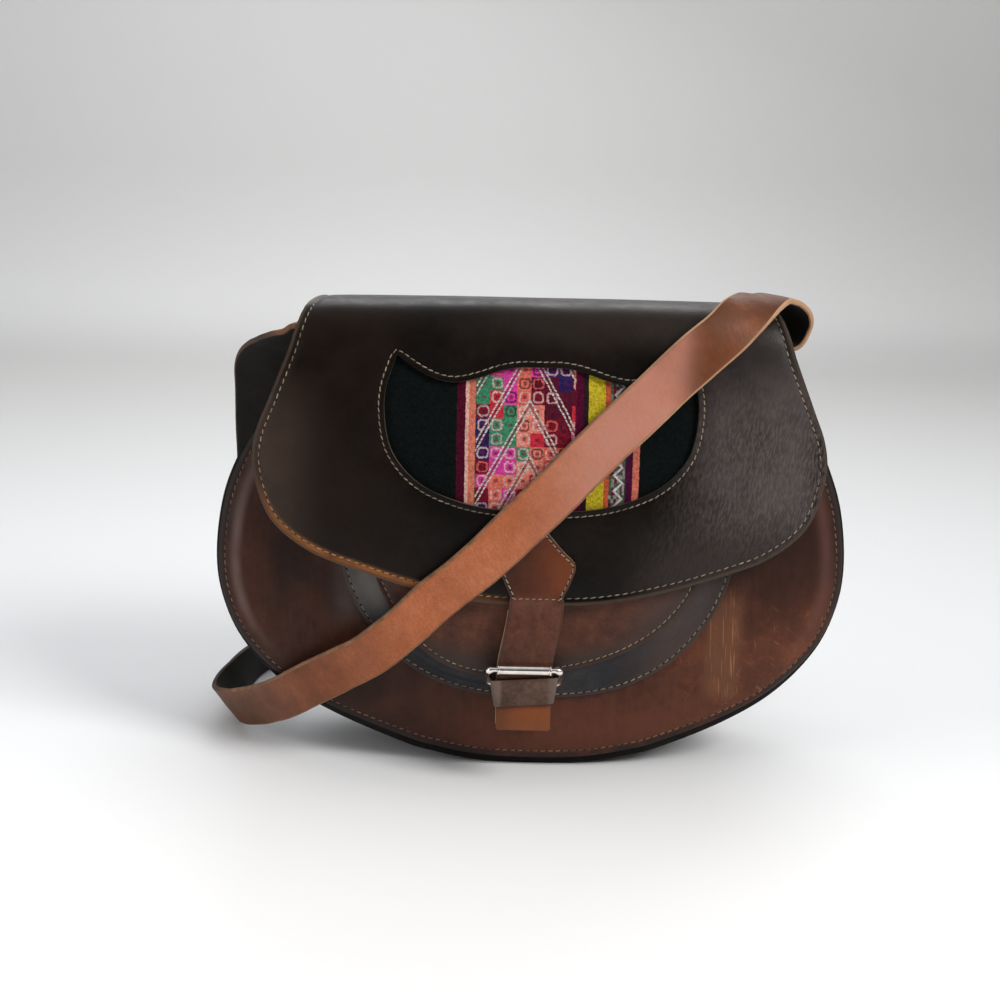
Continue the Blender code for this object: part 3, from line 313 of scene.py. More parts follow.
def edge_distance(points, line):
    """The distance from each point to a line of points, in a plane."""
    best = np.full(len(points), 1e9)
    for a, b in zip(line[:-1], line[1:]):
        along = b - a
        t = np.clip(((points - a) @ along) / max(along @ along, 1e-18), 0, 1)
        best = np.minimum(best, np.linalg.norm(points - a - t[:, None] * along, axis=1))
    return best


def rumple(points, size, seed):
    """Smooth noise from about -1 to 1 at each point, with features of the given size. Flat points lie at zero."""
    if points.shape[1] == 2:
        points = xyz(points[:, 0], points[:, 1], 0.0)
    return np.array([noise.noise(Vector(p) / size + Vector((seed, 0, 0))) for p in points])


def arc(centre, radius, start, end, steps):
    angles = np.radians(np.linspace(start, end, steps + 1))
    return [np.array(centre) + radius * np.array((math.cos(a), math.sin(a))) for a in angles]


def rounded_corners(corners, radius, steps):
    """The four rounded corners of an upright rectangle, from the centres of their arcs."""
    return [arc(spot, radius, turn * 90, (turn + 1) * 90, steps) for turn, spot in enumerate(corners)]


# Body surface

SIDE_LINE = half_outline(OUTLINE, HALF_WIDTH, 0, HEIGHT, 7)
BODY_RING = mirrored(np.vstack([SIDE_LINE, np.linspace(SIDE_LINE[-1], (0, HEIGHT), 24)[1:]]))
BODY_CENTRE = np.array([0, 0.5 * HEIGHT])
RING_ANGLES = np.arctan2(*(BODY_RING - BODY_CENTRE).T[::-1])
RING_RADII = np.linalg.norm(BODY_RING - BODY_CENTRE, axis=1)
LEAN_FADES, LEAN_REACH, LEAN_LEFT, LEAN_RIGHT = (40 * MM, 70 * MM), 90 * MM, 0.022, -0.016


def body_share(x, z):
    """0 in the middle of the body and 1 on its outline."""
    dx, dz = x - BODY_CENTRE[0], z - BODY_CENTRE[1]
    reach = np.interp(np.arctan2(dz, dx), RING_ANGLES, RING_RADII, period=2 * math.pi)
    return np.minimum(np.hypot(dx, dz) / reach, 1.0)


def half_depth(z):
    return mix(BASE_DEPTH, TOP_DEPTH, smooth(z / HEIGHT))


def front_y(x, z):
    return -half_depth(z) - FRONT_BULGE * (1 - body_share(x, z) ** BULGE_POWER)


def back_y(x, z):
    return half_depth(z) + BACK_BULGE * (1 - body_share(x, z) ** BULGE_POWER)


def middle_y(face_y, z):
    """Where a face lies on the middle line."""
    return float(face_y(np.zeros(1), np.full(1, z))[0])


def lean(points):
    """The worn body sags a little more to its left than to its right."""
    x, z = points[:, 0], points[:, -1]
    level = smooth(z / LEAN_FADES[0]) * smooth((HEIGHT - z) / LEAN_FADES[1])
    points[:, 0] = x * (1 + np.where(x < 0, LEAN_LEFT, LEAN_RIGHT) * level * smooth(np.abs(x) / LEAN_REACH))
    return points


# Meshes

class Net:
    """Rows of points joined by four-sided faces. Each point carries two marks."""

    def __init__(self):
        self.points, self.faces, self.marks = [], [], []

    def row(self, points, marks=(0.0, 0.0)):
        """A row of points, with one pair of marks for each or one for all."""
        start = len(self.points)
        self.points += [tuple(p) for p in points]
        self.marks += np.broadcast_to(marks, (len(points), 2)).tolist()
        return list(range(start, start + len(points)))

    def band(self, low, high, closed=False):
        for i in range(len(low) if closed else len(low) - 1):
            j = (i + 1) % len(low)
            self.faces.append((low[i], low[j], high[j], high[i]))

    def bands(self, rows, closed=False):
        for low, high in zip(rows, rows[1:]):
            self.band(low, high, closed)

    def fan(self, ring, point, mark=(0.0, 0.0)):
        middle = self.row([point], mark)[0]
        for i, corner in enumerate(ring):
            self.faces.append((corner, ring[(i + 1) % len(ring)], middle))

    def caps(self, rows):
        self.faces += [tuple(reversed(rows[0])), tuple(rows[-1])]

    def mesh(self, name):
        mesh = bpy.data.meshes.new(name)
        mesh.from_pydata(self.points, [], self.faces)
        uv = mesh.uv_layers.new(name="UVMap")
        corners = np.zeros(len(mesh.loops), np.int32)
        mesh.loops.foreach_get("vertex_index", corners)
        uv.data.foreach_set("uv", np.array(self.marks, np.float32)[corners].ravel())
        return mesh


def linked(name, mesh, materials):
    obj = bpy.data.objects.new(name, mesh)
    bpy.context.scene.collection.objects.link(obj)
    for material in materials:
        mesh.materials.append(material)
    return obj


def piece(name, mesh, materials, smooth_angle=None):
    obj = linked(name, mesh, materials)
    mesh.shade_smooth()
    if smooth_angle:
        mesh.set_sharp_from_angle(angle=math.radians(smooth_angle))
    return obj


THICK_ROUND, THIN_ROUND = 0.45 * MM, 0.3 * MM


def hide(name, net, thickness, materials, offset=-1.0, bevel=THICK_ROUND, flip=False):
    """A piece of leather: a sheet given its thickness, with rounded edges in the second material and, where there is
    a third, its flesh side in that."""
    mesh = net.mesh(name)
    if flip:
        mesh.flip_normals()
    obj = linked(name, mesh, materials)
    solid = obj.modifiers.new("thickness", "SOLIDIFY")
    solid.thickness, solid.offset = thickness, offset
    solid.material_offset_rim = 1
    solid.material_offset = 2 if len(materials) > 2 else 0
    rounded = obj.modifiers.new("edges", "BEVEL")
    rounded.width, rounded.segments = bevel, 3
    rounded.limit_method, rounded.angle_limit = "ANGLE", math.radians(55)
    bpy.context.view_layer.update()
    mesh = bpy.data.meshes.new_from_object(obj.evaluated_get(bpy.context.evaluated_depsgraph_get()))
    obj.modifiers.clear()
    obj.data = mesh
    mesh.name = obj.name
    mesh.shade_smooth()
    return obj


def stitches(name, path, normals, body, materials, seed, pitch=STITCH_PITCH, width=STITCH_WIDTH, closed=False):
    """A row of thread stitches along a path on a surface, each pulled down at both ends, with a small dark disc at each
    hole as painted shade.
    """
    draw = random.Random(seed)
    lines = [np.asarray(path, float), np.broadcast_to(np.asarray(normals, float), np.shape(path))]
    if closed:
        lines = [np.vstack([line, line[:1]]) for line in lines]
    run = lengths_of(lines[0])
    count = max(int(run[-1] / pitch), 1)
    gap = run[-1] / count
    net = Net()
    kinds = []

    def at(where):
        spot, up = (np.array([np.interp(where, run, line[:, k]) for k in range(3)]) for line in lines)
        return spot, up / np.linalg.norm(up)

    for where in (np.arange(count) + 0.5) * gap:
        spot, up = at(where)
        along = at(min(where + 0.5 * MM, run[-1]))[0] - at(max(where - 0.5 * MM, 0))[0]
        along -= up * (along @ up)
        along /= np.linalg.norm(along)
        side = np.cross(up, along)
        turn = STITCH_SLANT + draw.uniform(-0.07, 0.07)
        along, side = (along * math.cos(turn) + side * math.sin(turn), side * math.cos(turn) - along * math.sin(turn))
        half = STITCH_LENGTH / 2 * draw.uniform(0.93, 1.07)
        thick = width / 2 * draw.uniform(0.9, 1.1)
        around = [2 * math.pi * s / STITCH_SIDES for s in range(STITCH_SIDES)]
        rows = [net.row([spot + along * half * t + side * math.cos(a) * thick * swell
                         + up * STITCH_HEIGHT * (math.sin(a) * 0.5 * swell + rise) for a in around])
                for t, swell, rise in STITCH_STATIONS]
        net.bands(rows[::-1], closed=True)
        net.caps(rows[::-1])
        kinds += [0] * (len(net.faces) - len(kinds))
        hole, up = at(max(where - gap / 2, 0))
        around = [2 * math.pi * s / HOLE_SIDES for s in range(HOLE_SIDES)]
        rim = net.row([hole + (along * math.cos(a) * HOLE_STRETCH + side * math.sin(a)) * HOLE + up * HOLE_RIM_LIFT
                       for a in around])
        net.fan(rim, hole + up * HOLE_LIFT)
        kinds += [1] * HOLE_SIDES
    mesh = bpy.data.meshes.new(name)
    mesh.from_pydata(net.points, [], net.faces)
    obj = piece(name, mesh, materials)
    mesh.polygons.foreach_set("material_index", kinds)
    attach(obj, body)


def on_surface(surface, line, step=0.4 * MM):
    """Points and normals of a surface along a line of its two own coordinates."""
    a = surface(line + (step, 0)) - surface(line - (step, 0))
    b = surface(line + (0, step)) - surface(line - (0, step))
    return surface(line), unit(np.cross(a, b))


# Materials

class Value:
    """A number in a node tree, which can be added, subtracted, multiplied and divided."""

    def __init__(self, nodes, socket):
        self.nodes, self.socket = nodes, socket

    def __add__(self, other):
        return self.nodes.math("ADD", self, other)

    def __sub__(self, other):
        return self.nodes.math("SUBTRACT", self, other)

    def __mul__(self, other):
        return self.nodes.math("MULTIPLY", self, other)

    __rmul__ = __mul__

    def __truediv__(self, other):
        return self.nodes.math("DIVIDE", self, other)


class Nodes:
    """A node tree, with short names for the nodes used most."""

    def __init__(self, tree):
        self.tree = tree

    def put(self, socket, value):
        if isinstance(value, Value):
            value = value.socket
        if isinstance(value, bpy.types.NodeSocket):
            self.tree.links.new(value, socket)
        else:
            socket.default_value = (*value, 1) if socket.type == "RGBA" else value

    def node(self, kind, inputs=(), **settings):
        made = self.tree.nodes.new("ShaderNode" + kind)
        for key, value in settings.items():
            setattr(made, key, value)
        for key, value in dict(inputs).items():
            self.put(made.inputs[key], value)
        return made

    def math(self, operation, a, b=0.0, c=0.0):
        return Value(self, self.node("Math", {0: a, 1: b, 2: c}, operation=operation).outputs[0])

    def floor(self, value):
        return self.math("FLOOR", value)

    def fraction(self, value):
        return self.math("FRACT", value)

    def size(self, value):
        return self.math("ABSOLUTE", value)

    def between(self, value, low, high):
        return self.math("GREATER_THAN", value, low) * self.math("LESS_THAN", value, high)

    def span(self, value, low, high, to_low=0.0, to_high=1.0):
        """A smooth step between two values."""
        ends = {"From Min": low, "From Max": high, "To Min": to_low, "To Max": to_high}
        return Value(self, self.node("MapRange", {"Value": value, **ends}, interpolation_type="SMOOTHSTEP").outputs[0])

    def noise(self, where, scale, detail=3.0, rough=0.55, warp=0.0):
        inputs = {"Vector": where, "Scale": scale, "Detail": detail, "Roughness": rough, "Distortion": warp}
        return Value(self, self.node("TexNoise", inputs).outputs["Fac"])

    def centred_noise(self, *settings):
        return self.noise(*settings) - 0.5

    def random_at(self, *numbers):
        """A random number for each whole place."""
        cell = self.node("CombineXYZ", dict(enumerate(numbers))).outputs[0]
        return self.node("TexWhiteNoise", {"Vector": cell}, noise_dimensions="3D").outputs["Value"]

    def axis(self, where, index):
        return Value(self, self.node("SeparateXYZ", {0: where}).outputs[index])

    def turned(self, where, angle, scale):
        """Places turned about the Y axis, then stretched."""
        turn = self.node("Mapping", {"Vector": where, "Rotation": (0, math.radians(angle), 0)}).outputs[0]
        return self.node("Mapping", {"Vector": turn, "Scale": scale}).outputs[0]

    def mix(self, factor, a, b, blend="MIX"):
        return self.node("Mix", {0: factor, 6: a, 7: b}, data_type="RGBA", blend_type=blend).outputs[2]

    def darkened(self, colour, by):
        return self.mix(1.0, colour, by, "MULTIPLY")

    def ramp(self, factor, places, colours, interpolation="LINEAR"):
        made = self.node("ValToRGB", {"Fac": factor})
        ramp = made.color_ramp
        ramp.interpolation = interpolation
        while len(ramp.elements) < len(colours):
            ramp.elements.new(0.5)
        for element, place, colour in zip(ramp.elements, places, colours):
            element.position, element.color = place, (*colour, 1)
        return made.outputs["Color"]


class Finish(Nodes):
    """A material built from nodes."""

    def __init__(self, name):
        self.material = bpy.data.materials.new(name)
        self.material.use_nodes = True
        super().__init__(self.material.node_tree)
        self.shader = self.tree.nodes["Principled BSDF"]
        self.place = self.node("TexCoord").outputs["Object"]

    def mark(self, index):
        """One of the two numbers that a mesh carries at each point."""
        return self.axis(self.node("UVMap", uv_map="UVMap").outputs[0], index)

    def shade(self, **values):
        for key, value in values.items():
            self.put(self.shader.inputs[key.replace("_", " ")], value)

    def relief(self, height):
        """Bump from a height in millimetres."""
        made = self.node("Bump", {"Height": height, "Strength": 1.0, "Distance": MM})
        self.put(self.shader.inputs["Normal"], made.outputs[0])


# Masks are functions of a finish; places on the bag are in millimetres

def across(start, full):
    """A mask that goes from 0 to 1 between two places from left to right."""
    return lambda f: f.span(f.axis(f.place, 0), start * MM, full * MM)


def inward(start, full):
    """A mask that goes from 0 to 1 between two places from front to back."""
    return lambda f: f.span(f.axis(f.place, 1), start * MM, full * MM)


def upward(start, full):
    """A mask that goes from 0 to 1 between two heights."""
    return lambda f: f.span(f.axis(f.place, 2), start * MM, full * MM)


def strip(near, far):
    """A mask for a strip between two distances from the marked edge."""
    middle = (near + far) / 2
    return lambda f: f.span(f.mark(0), near * MM, middle * MM) * f.span(f.mark(0), far * MM, middle * MM)


def masked(f, value, masks):
    """A value where every mask is 1, and 0 where one is 0."""
    for mask in masks:
        value = value * mask(f)
    return value


def shaded(tone, amount, *masks):
    """A tone in one area, broken up by blotches: the leather's own tones, and in some areas painted shade, sheen and
    highlights.
    """
    def painter(f, colour):
        broken = f.span(f.noise(f.place, *BLOTCH_NOISE), 0.2, 0.65, 0.35, 1.0)
        return f.mix(masked(f, broken * amount, masks), colour, tone)
    return painter


def rubbed(tone, reach, amount, *masks):
    """Wear along the marked edges, up to a reach in millimetres."""
    def painter(f, colour):
        near = f.span(f.mark(0), reach * MM, reach * MM * WEAR_CORE)
        rub = near * f.span(f.noise(f.place, *WEAR_NOISE), 0.25, 0.6, 0.45, 1.0)
        return f.mix(masked(f, rub * amount, masks), colour, tone)
    return painter


# Noises are (scale, detail, roughness, distortion)
BLOTCH_NOISE = (30, 4, 0.65)
WEAR_NOISE = (110, 4, 0.7)
WEAR_CORE = 0.45
DENT_NOISE, DENT_DEPTH = (60, 3, 0.5), 0.22
PORE_DEPTH, PORE_SHADE = 0.035, (0.45, 0.42, 0.40)
STREAK_BLEND = 0.55


def leather(name, tones, rough=(0.36, 0.52), pore_scale=900, blotch=26, specular=0.3, streaks=(), paint=()):
    """Smooth worn leather: cloudy colour over fine pores, with soft dents. Streaks are (angle, scale, depth, tone,
    amount, masks), and each painter in paint changes the colour in its own area."""
    f = Finish(name)
    cloud = f.noise(f.place, blotch, 4, 0.6, 0.4) * 0.65 + f.noise(f.place, blotch * 7, 3, 0.6) * 0.35
    colour = f.ramp(cloud, (0.36, 0.5, 0.64), tones)
    speck = f.span(f.noise(f.place, pore_scale * 0.8, 2, 0.7), 0.35, 0.7)
    colour = f.mix(speck * 0.35, colour, f.darkened(colour, PORE_SHADE))
    cells = Value(f, f.node("TexVoronoi", {"Vector": f.place, "Scale": pore_scale}).outputs["Distance"])
    pores = cells * -PORE_DEPTH + f.noise(f.place, pore_scale * 1.7, 2, 0.6) * (PORE_DEPTH * 0.8)
    height = pores + f.noise(f.place, *DENT_NOISE) * DENT_DEPTH
    for angle, scale, depth, tone, amount, masks in streaks:
        lines = f.noise(f.turned(f.place, angle, scale), 1.0, 2, 0.55, 0.15)
        lines = masked(f, f.span(lines, 0.36, 0.70) * amount, masks)
        height = height + lines * depth
        colour = f.mix(lines * STREAK_BLEND, colour, tone)
    for painter in paint:
        colour = painter(f, colour)
    roughness = f.span(f.noise(f.place, blotch * 3, 4, 0.65), 0.3, 0.7, *rough)
    f.shade(Base_Color=colour, Roughness=roughness, Specular_IOR_Level=specular)
    f.relief(height)
    return f.material


def dull(name, dark, light, cloud, stops, rough, fibres=None, depth=0.0, paint=()):
    """A dull finish: two tones from one noise, and fibres in relief from another."""
    f = Finish(name)
    colour = f.ramp(f.noise(f.place, *cloud), stops, (dark, light))
    for painter in paint:
        colour = painter(f, colour)
    f.shade(Base_Color=colour, Roughness=rough)
    if fibres:
        f.relief(f.noise(f.place, *fibres) * depth)
    return f.material


def cut_edge(name, dark, light, paint=()):
    """The cut edge of a hide."""
    return dull(name, dark, light, (240, 4, 0.7), (0.32, 0.66), 0.72, (2200, 3, 0.7), 0.12, paint)


def flesh(name, dark, light):
    """The rough inner side of a hide."""
    return dull(name, dark, light, (70, 5, 0.7, 0.5), (0.3, 0.7), 0.86, (1500, 4, 0.75), 0.16)


def threads(name, dark, light):
    """Thread, and the painted shade of the holes that it runs through."""
    return [dull(name, dark, light, (160, 3, 0.6), (0.35, 0.62), 0.75, (3500, 2, 0.6), 0.1), STITCH_HOLE_SHADE]


def steel():
    f = Finish("bright_steel")
    scuff = f.noise(f.turned(f.place, 0, (300, 2400, 2400)), 1.0, 3, 0.6)
    tones = [[c * shade for c in (0.92, 0.87, 0.80)] for shade in (0.78, 1)]
    f.shade(Metallic=1.0, Base_Color=f.ramp(f.noise(f.place, 220, 3, 0.6), (0.3, 0.6), tones),
            Roughness=f.span(scuff, 0.35, 0.7, 0.10, 0.20))
    f.relief(scuff * 0.012)
    return f.material


# Woven inset: its marks are centimetres across and up from the cloth's zero, and these sizes are in millimetres
CLOTH_SPAN = 90.0
CLOTH_STRIPES = (
    (-90.0, (0.0062, 0.0085, 0.0085)), (-35.8, (0.085, 0.006, 0.022)), (-32.3, (0.84, 0.48, 0.41)),
    (-30.3, (0.76, 0.22, 0.14)), (-28.0, (0.03, 0.10, 0.05)), (-27.2, (0.16, 0.01, 0.03)), (14.2, (0.10, 0.006, 0.035)),
    (17.4, (0.03, 0.014, 0.016)), (19.1, (0.66, 0.52, 0.03)), (26.4, (0.66, 0.12, 0.05)), (28.8, (0.055, 0.05, 0.045)),
    (35.4, (0.075, 0.008, 0.04)), (38.6, (0.70, 0.19, 0.13)), (41.2, (0.0062, 0.0085, 0.0085)),
)
CLOTH_BLOCKS = (
    (0.78, 0.06, 0.38), (0.86, 0.20, 0.14), (0.22, 0.012, 0.028), (0.06, 0.28, 0.15), (0.035, 0.02, 0.12),
    (0.88, 0.26, 0.19), (0.66, 0.035, 0.06), (0.12, 0.010, 0.03), (0.76, 0.05, 0.34), (0.84, 0.14, 0.10),
)
RING_SHARES = (0.0, 0.34, 0.52, 0.66, 0.88)
RING_TONES = ((0.80, 0.48, 0.47), (0.62, 0.46, 0.46), (0.06, 0.015, 0.03), (0.82, 0.56, 0.53), (0.80, 0.16, 0.13))
FIGURE_SHARES = (0.0, 0.36, 0.60, 0.76, 0.9)
FIGURE_TONES = ((0.10, 0.09, 0.08), (0.36, 0.33, 0.31), (0.09, 0.15, 0.09), (0.16, 0.012, 0.03), (0.30, 0.27, 0.25))
BAND_LEFT, BAND_RIGHT = -27.2, 14.2
FIGURE_LEFT, FIGURE_RIGHT, FIGURE_MIDDLE = 28.8, 35.4, 31.0
FIGURE_CELL = (1.15, 1.7)
ZIGZAG_HEIGHT, ZIGZAG_LINE = 3.4, 0.62
RING_WIDTH, RING_HEIGHT = 5.7, 5.9
BLOCK_ROWS = 3
ODD_BLOCKS, BARE_CELLS = 0.3, 0.22
RING_REACH, RING_LINE, RING_DOT, RING_CORNER = 2.0, 0.36, 0.8, 0.62
THREAD_STEP = 0.36
PEAK_PLACE, PEAK_HEIGHT, PEAK_SLOPE, PEAK_PITCH = -4.8, 19.6, 1.85, 23.5
PEAK_LINES, PEAK_LINE = (1.0, 4.6), 0.7
PEAK_FILL, PEAK_FILL_REACH = 2.8, 2.2
DOT_RATE = 0.62
WEFT_PITCH, WARP_PITCH = 0.62, 0.85
DOT_TONE, FILL_TONE, LINE_TONE = (0.16, 0.012, 0.035), (0.14, 0.03, 0.035), (0.82, 0.74, 0.71)
ZIGZAG_TONE, WEAVE_SHADE = (0.80, 0.74, 0.71), (0.68, 0.68, 0.68)


def woven():
    """Striped cloth with one figured band: blocks with small rings, crossed by light dotted peaks."""
    f = Finish("woven_cloth")
    wobble = f.centred_noise(f.place, 260, 2, 0.5) * 0.8
    fuzz = f.centred_noise(f.place, 2600, 1, 0.5) * 0.45
    stray = f.centred_noise(f.place, 620, 2, 0.6) * 1.7
    u = f.mark(0) * 10.0 + wobble + fuzz
    v = f.mark(1) * 10.0 + wobble * 0.7 + fuzz
    width = 2 * CLOTH_SPAN
    stripes = [(left + CLOTH_SPAN) / width for left, _ in CLOTH_STRIPES]
    ground = f.ramp((u + CLOTH_SPAN) / width, stripes, [tone for _, tone in CLOTH_STRIPES], "CONSTANT")
    band = f.between(u, BAND_LEFT, BAND_RIGHT)
    figure = f.between(u, FIGURE_LEFT, FIGURE_RIGHT)

    columns, rows = (u - BAND_LEFT) / RING_WIDTH, (v + CLOTH_SPAN) / RING_HEIGHT
    column, row = f.floor(columns), f.floor(rows)
    pair = f.floor((column + 1.0) / 2.0)
    step = f.floor((row + pair * 2.0) / BLOCK_ROWS)
    shares = [i / len(CLOTH_BLOCKS) for i in range(len(CLOTH_BLOCKS))]
    plain, odd = (f.ramp(f.random_at(*cell), shares, CLOTH_BLOCKS, "CONSTANT")
                  for cell in ((pair, step, 7.7), (column, row, 2.6)))
    blocks = f.mix(f.math("GREATER_THAN", f.random_at(column, row, 9.4), 1 - ODD_BLOCKS), plain, odd)

    def centred(value, size):
        return f.size(f.math("SNAP", (f.fraction(value) - 0.5) * size, THREAD_STEP))

    ring_u, ring_v = centred(columns, RING_WIDTH) + stray, centred(rows, RING_HEIGHT) - stray
    reach = f.math("MAXIMUM", f.math("MAXIMUM", ring_u, ring_v), (ring_u + ring_v) * RING_CORNER)
    rings = f.ramp(f.random_at(column, row, 1.9), RING_SHARES, RING_TONES, "CONSTANT")
    shown = f.math("GREATER_THAN", f.random_at(column, row, 4.8), BARE_CELLS)
    blocks = f.mix(f.math("COMPARE", reach, RING_REACH, RING_LINE) * shown * 0.8, blocks, rings)
    blocks = f.mix(f.math("LESS_THAN", reach, RING_DOT) * 0.7, blocks, DOT_TONE)

    colour = f.mix(band, ground, blocks)
    peak = v + f.size(u - PEAK_PLACE) * PEAK_SLOPE
    phase = f.fraction((peak - PEAK_HEIGHT) / PEAK_PITCH) * PEAK_PITCH
    colour = f.mix(f.math("COMPARE", phase, PEAK_FILL, PEAK_FILL_REACH) * band * 0.5, colour, FILL_TONE)
    lines = f.math("MAXIMUM", *(f.math("COMPARE", phase, line, PEAK_LINE) for line in PEAK_LINES))
    dots = f.span(f.fraction(v * DOT_RATE), 0.12, 0.3)
    colour = f.mix(lines * dots * band * 0.9, colour, LINE_TONE)

    cell = [f.floor(value / size) for value, size in zip((u, v), FIGURE_CELL)]
    figures = f.ramp(f.random_at(*cell, 3.3), FIGURE_SHARES, FIGURE_TONES, "CONSTANT")
    colour = f.mix(figure * 0.85, colour, figures)
    zigzag = f.size(u - FIGURE_MIDDLE - f.math("PINGPONG", v, ZIGZAG_HEIGHT))
    colour = f.mix(f.math("LESS_THAN", zigzag, ZIGZAG_LINE) * figure * 0.85, colour, ZIGZAG_TONE)

    weft, warp = (f.math("SINE", value * (2 * math.pi / pitch)) for value, pitch in ((v, WEFT_PITCH), (u, WARP_PITCH)))
    weave = (weft * warp + 1.0) * 0.5
    worn = f.span(f.noise(f.place, 900, 4, 0.75), 0.3, 0.7, 0.48, 1.16)
    colour = f.darkened(colour, f.mix(weave, WEAVE_SHADE, (1.0, 1.0, 1.0)))
    colour = f.darkened(colour, f.node("CombineColor", {0: worn, 1: worn, 2: worn}).outputs[0])
    f.shade(Base_Color=colour, Roughness=0.95, Specular_IOR_Level=0.04)
    f.relief(weave * 0.16)
    return f.material


# The bag's finishes: the leathers' own tones, with painted shade, sheen and highlights in some areas
RIGHT_LOW = (across(50, 90), upward(95, 60))
FIBRES = (across(72, 79), across(94, 87), upward(32, 40), upward(92, 70))
LEFT_DIP = (across(-60, -68), across(-92, -82), upward(60, 85))
SCRATCHES = ((12, 0.70), (-30, 0.71), (55, 0.71))
SCUFF_TONE, SCRATCH_TONE, HAZE_TONE, FIBRE_TONE = (
    (0.22, 0.064, 0.026), (0.34, 0.14, 0.070), (0.22, 0.095, 0.048), (0.36, 0.16, 0.08))


def scratched(f, colour):
    """Thin tan scratches and scuffs low on the body's right."""
    scuff = f.span(f.noise(f.place, 55, 5, 0.72), 0.46, 0.68)
    colour = f.mix(masked(f, scuff * 0.42, RIGHT_LOW), colour, SCUFF_TONE)
    for angle, limit in SCRATCHES:
        lines = f.noise(f.turned(f.place, angle, (850, 850, 34)), 1.0, 1, 0.4, 0.6)
        colour = f.mix(masked(f, f.span(lines, limit, limit + 0.06) * 0.4, RIGHT_LOW), colour, SCRATCH_TONE)
    colour = f.mix(masked(f, 0.3, FIBRES), colour, HAZE_TONE)
    lines = f.noise(f.turned(f.place, 3, (1500, 1500, 9)), 1.0, 1, 0.4, 0.1)
    return f.mix(masked(f, f.span(lines, 0.60, 0.72) * 0.5, FIBRES), colour, FIBRE_TONE)


BODY_LEATHER = leather(
    "body_leather", ((0.040, 0.012, 0.006), (0.066, 0.021, 0.0105), (0.096, 0.031, 0.016)), specular=0.15,
    streaks=[(0, (420, 420, 45), 0.05, (0.105, 0.038, 0.024), 0.5, ())],
    paint=[
        # Darker higher up: partly the leather's tone, partly a painted shadow under the flap.
        shaded((0.020, 0.007, 0.004), 0.85, upward(50, 105)),
        shaded((0.017, 0.007, 0.005), 0.9, across(0, -80), upward(85, 40)),
        # A painted shadow under the flap's lower left.
        shaded((0.013, 0.005, 0.003), 0.7, across(-72, -88), across(-122, -110), upward(62, 85)),
        shaded((0.120, 0.038, 0.018), 0.5, *RIGHT_LOW),
        scratched,
        shaded((0.125, 0.038, 0.022), 0.55, upward(42, 22), across(-60, -10)),
        shaded((0.022, 0.007, 0.004), 0.55, across(86, 96), across(122, 108), upward(60, 74)),
        # Painted highlights: a pinkish reflection down the puffed left edge and a fainter one on the right.
        shaded((0.17, 0.115, 0.105), 0.6, strip(4, 11.5), across(-95, -115), upward(45, 80)),
        shaded((0.13, 0.055, 0.047), 0.45, strip(3, 13), across(105, 118), upward(45, 80)),
        shaded((0.10, 0.085, 0.078), 0.6, *LEFT_DIP),
        rubbed((0.020, 0.015, 0.013), 3.6, 0.95),
    ])
BACK_LEATHER = leather(
    "back_leather", ((0.03, 0.010, 0.006), (0.06, 0.02, 0.010), (0.09, 0.030, 0.015)), specular=0.16,
    paint=[rubbed((0.020, 0.015, 0.013), 3.6, 0.9)])
# Nearly black: partly dark leather, partly painted shade of the bag's underside and bottom seam.
GUSSET_LEATHER = leather(
    "gusset_leather", ((0.003, 0.003, 0.0025), (0.006, 0.005, 0.004), (0.013, 0.009, 0.007)), (0.45, 0.62),
    specular=0.12)
RIM_SKIN = leather(
    "pocket_band_leather", ((0.010, 0.010, 0.013), (0.019, 0.019, 0.023), (0.038, 0.034, 0.036)), (0.34, 0.5),
    specular=0.2,
    paint=[
        shaded((0.052, 0.032, 0.026), 0.95, across(25, 62)),
        shaded((0.13, 0.12, 0.11), 0.75, across(-58, -68), upward(60, 85)),
        rubbed((0.05, 0.032, 0.026), 2.6, 0.7),
    ])
POCKET_SKIN = leather(
    "pocket_leather", ((0.048, 0.018, 0.012), (0.088, 0.031, 0.018), (0.130, 0.044, 0.024)), specular=0.18,
    paint=[
        shaded((0.034, 0.023, 0.019), 0.8, upward(68, 56)),
        shaded((0.060, 0.038, 0.031), 0.8, across(30, 58)),
        rubbed((0.035, 0.025, 0.021), 10, 0.7),
    ])
FLAP_SKIN = leather(
    "flap_leather", ((0.0024, 0.0017, 0.0013), (0.0044, 0.0028, 0.0019), (0.0095, 0.0052, 0.0034)), (0.34, 0.48),
    specular=0.12,
    # Fine creases in relief, whose pale grey colour is a painted sheen on the flap's right.
    streaks=[
        (-12, (1300, 1300, 300), 0.022, (0.125, 0.098, 0.092), 1, (across(40, 92), upward(190, 150), upward(85, 115))),
        (-16, (1100, 1100, 240), 0.02, (0.048, 0.035, 0.031), 1, (across(30, 70), upward(130, 105))),
    ],
    paint=[
        shaded((0.011, 0.0052, 0.0028), 0.9, across(-45, -80)),
        shaded((0.050, 0.030, 0.021), 0.85, across(-88, -116), upward(190, 150)),
        # A painted sheen along the flap's top.
        shaded((0.022, 0.015, 0.012), 0.8, upward(184, 198), across(-60, 20)),
        # A painted sheen over the flap's right side.
        shaded((0.100, 0.080, 0.077), 0.6, across(48, 85), upward(205, 165), upward(100, 135), across(122, 108)),
        shaded((0.030, 0.022, 0.020), 0.8, across(30, 60), upward(125, 100)),
        rubbed((0.22, 0.078, 0.022), 5, 1.0, across(0, -50), upward(140, 105)),
        rubbed((0.060, 0.042, 0.032), 1.8, 0.8),
    ])
LINING_SKIN = leather("tan_lining", ((0.16, 0.062, 0.026), (0.24, 0.095, 0.042), (0.31, 0.13, 0.06)), (0.6, 0.75))
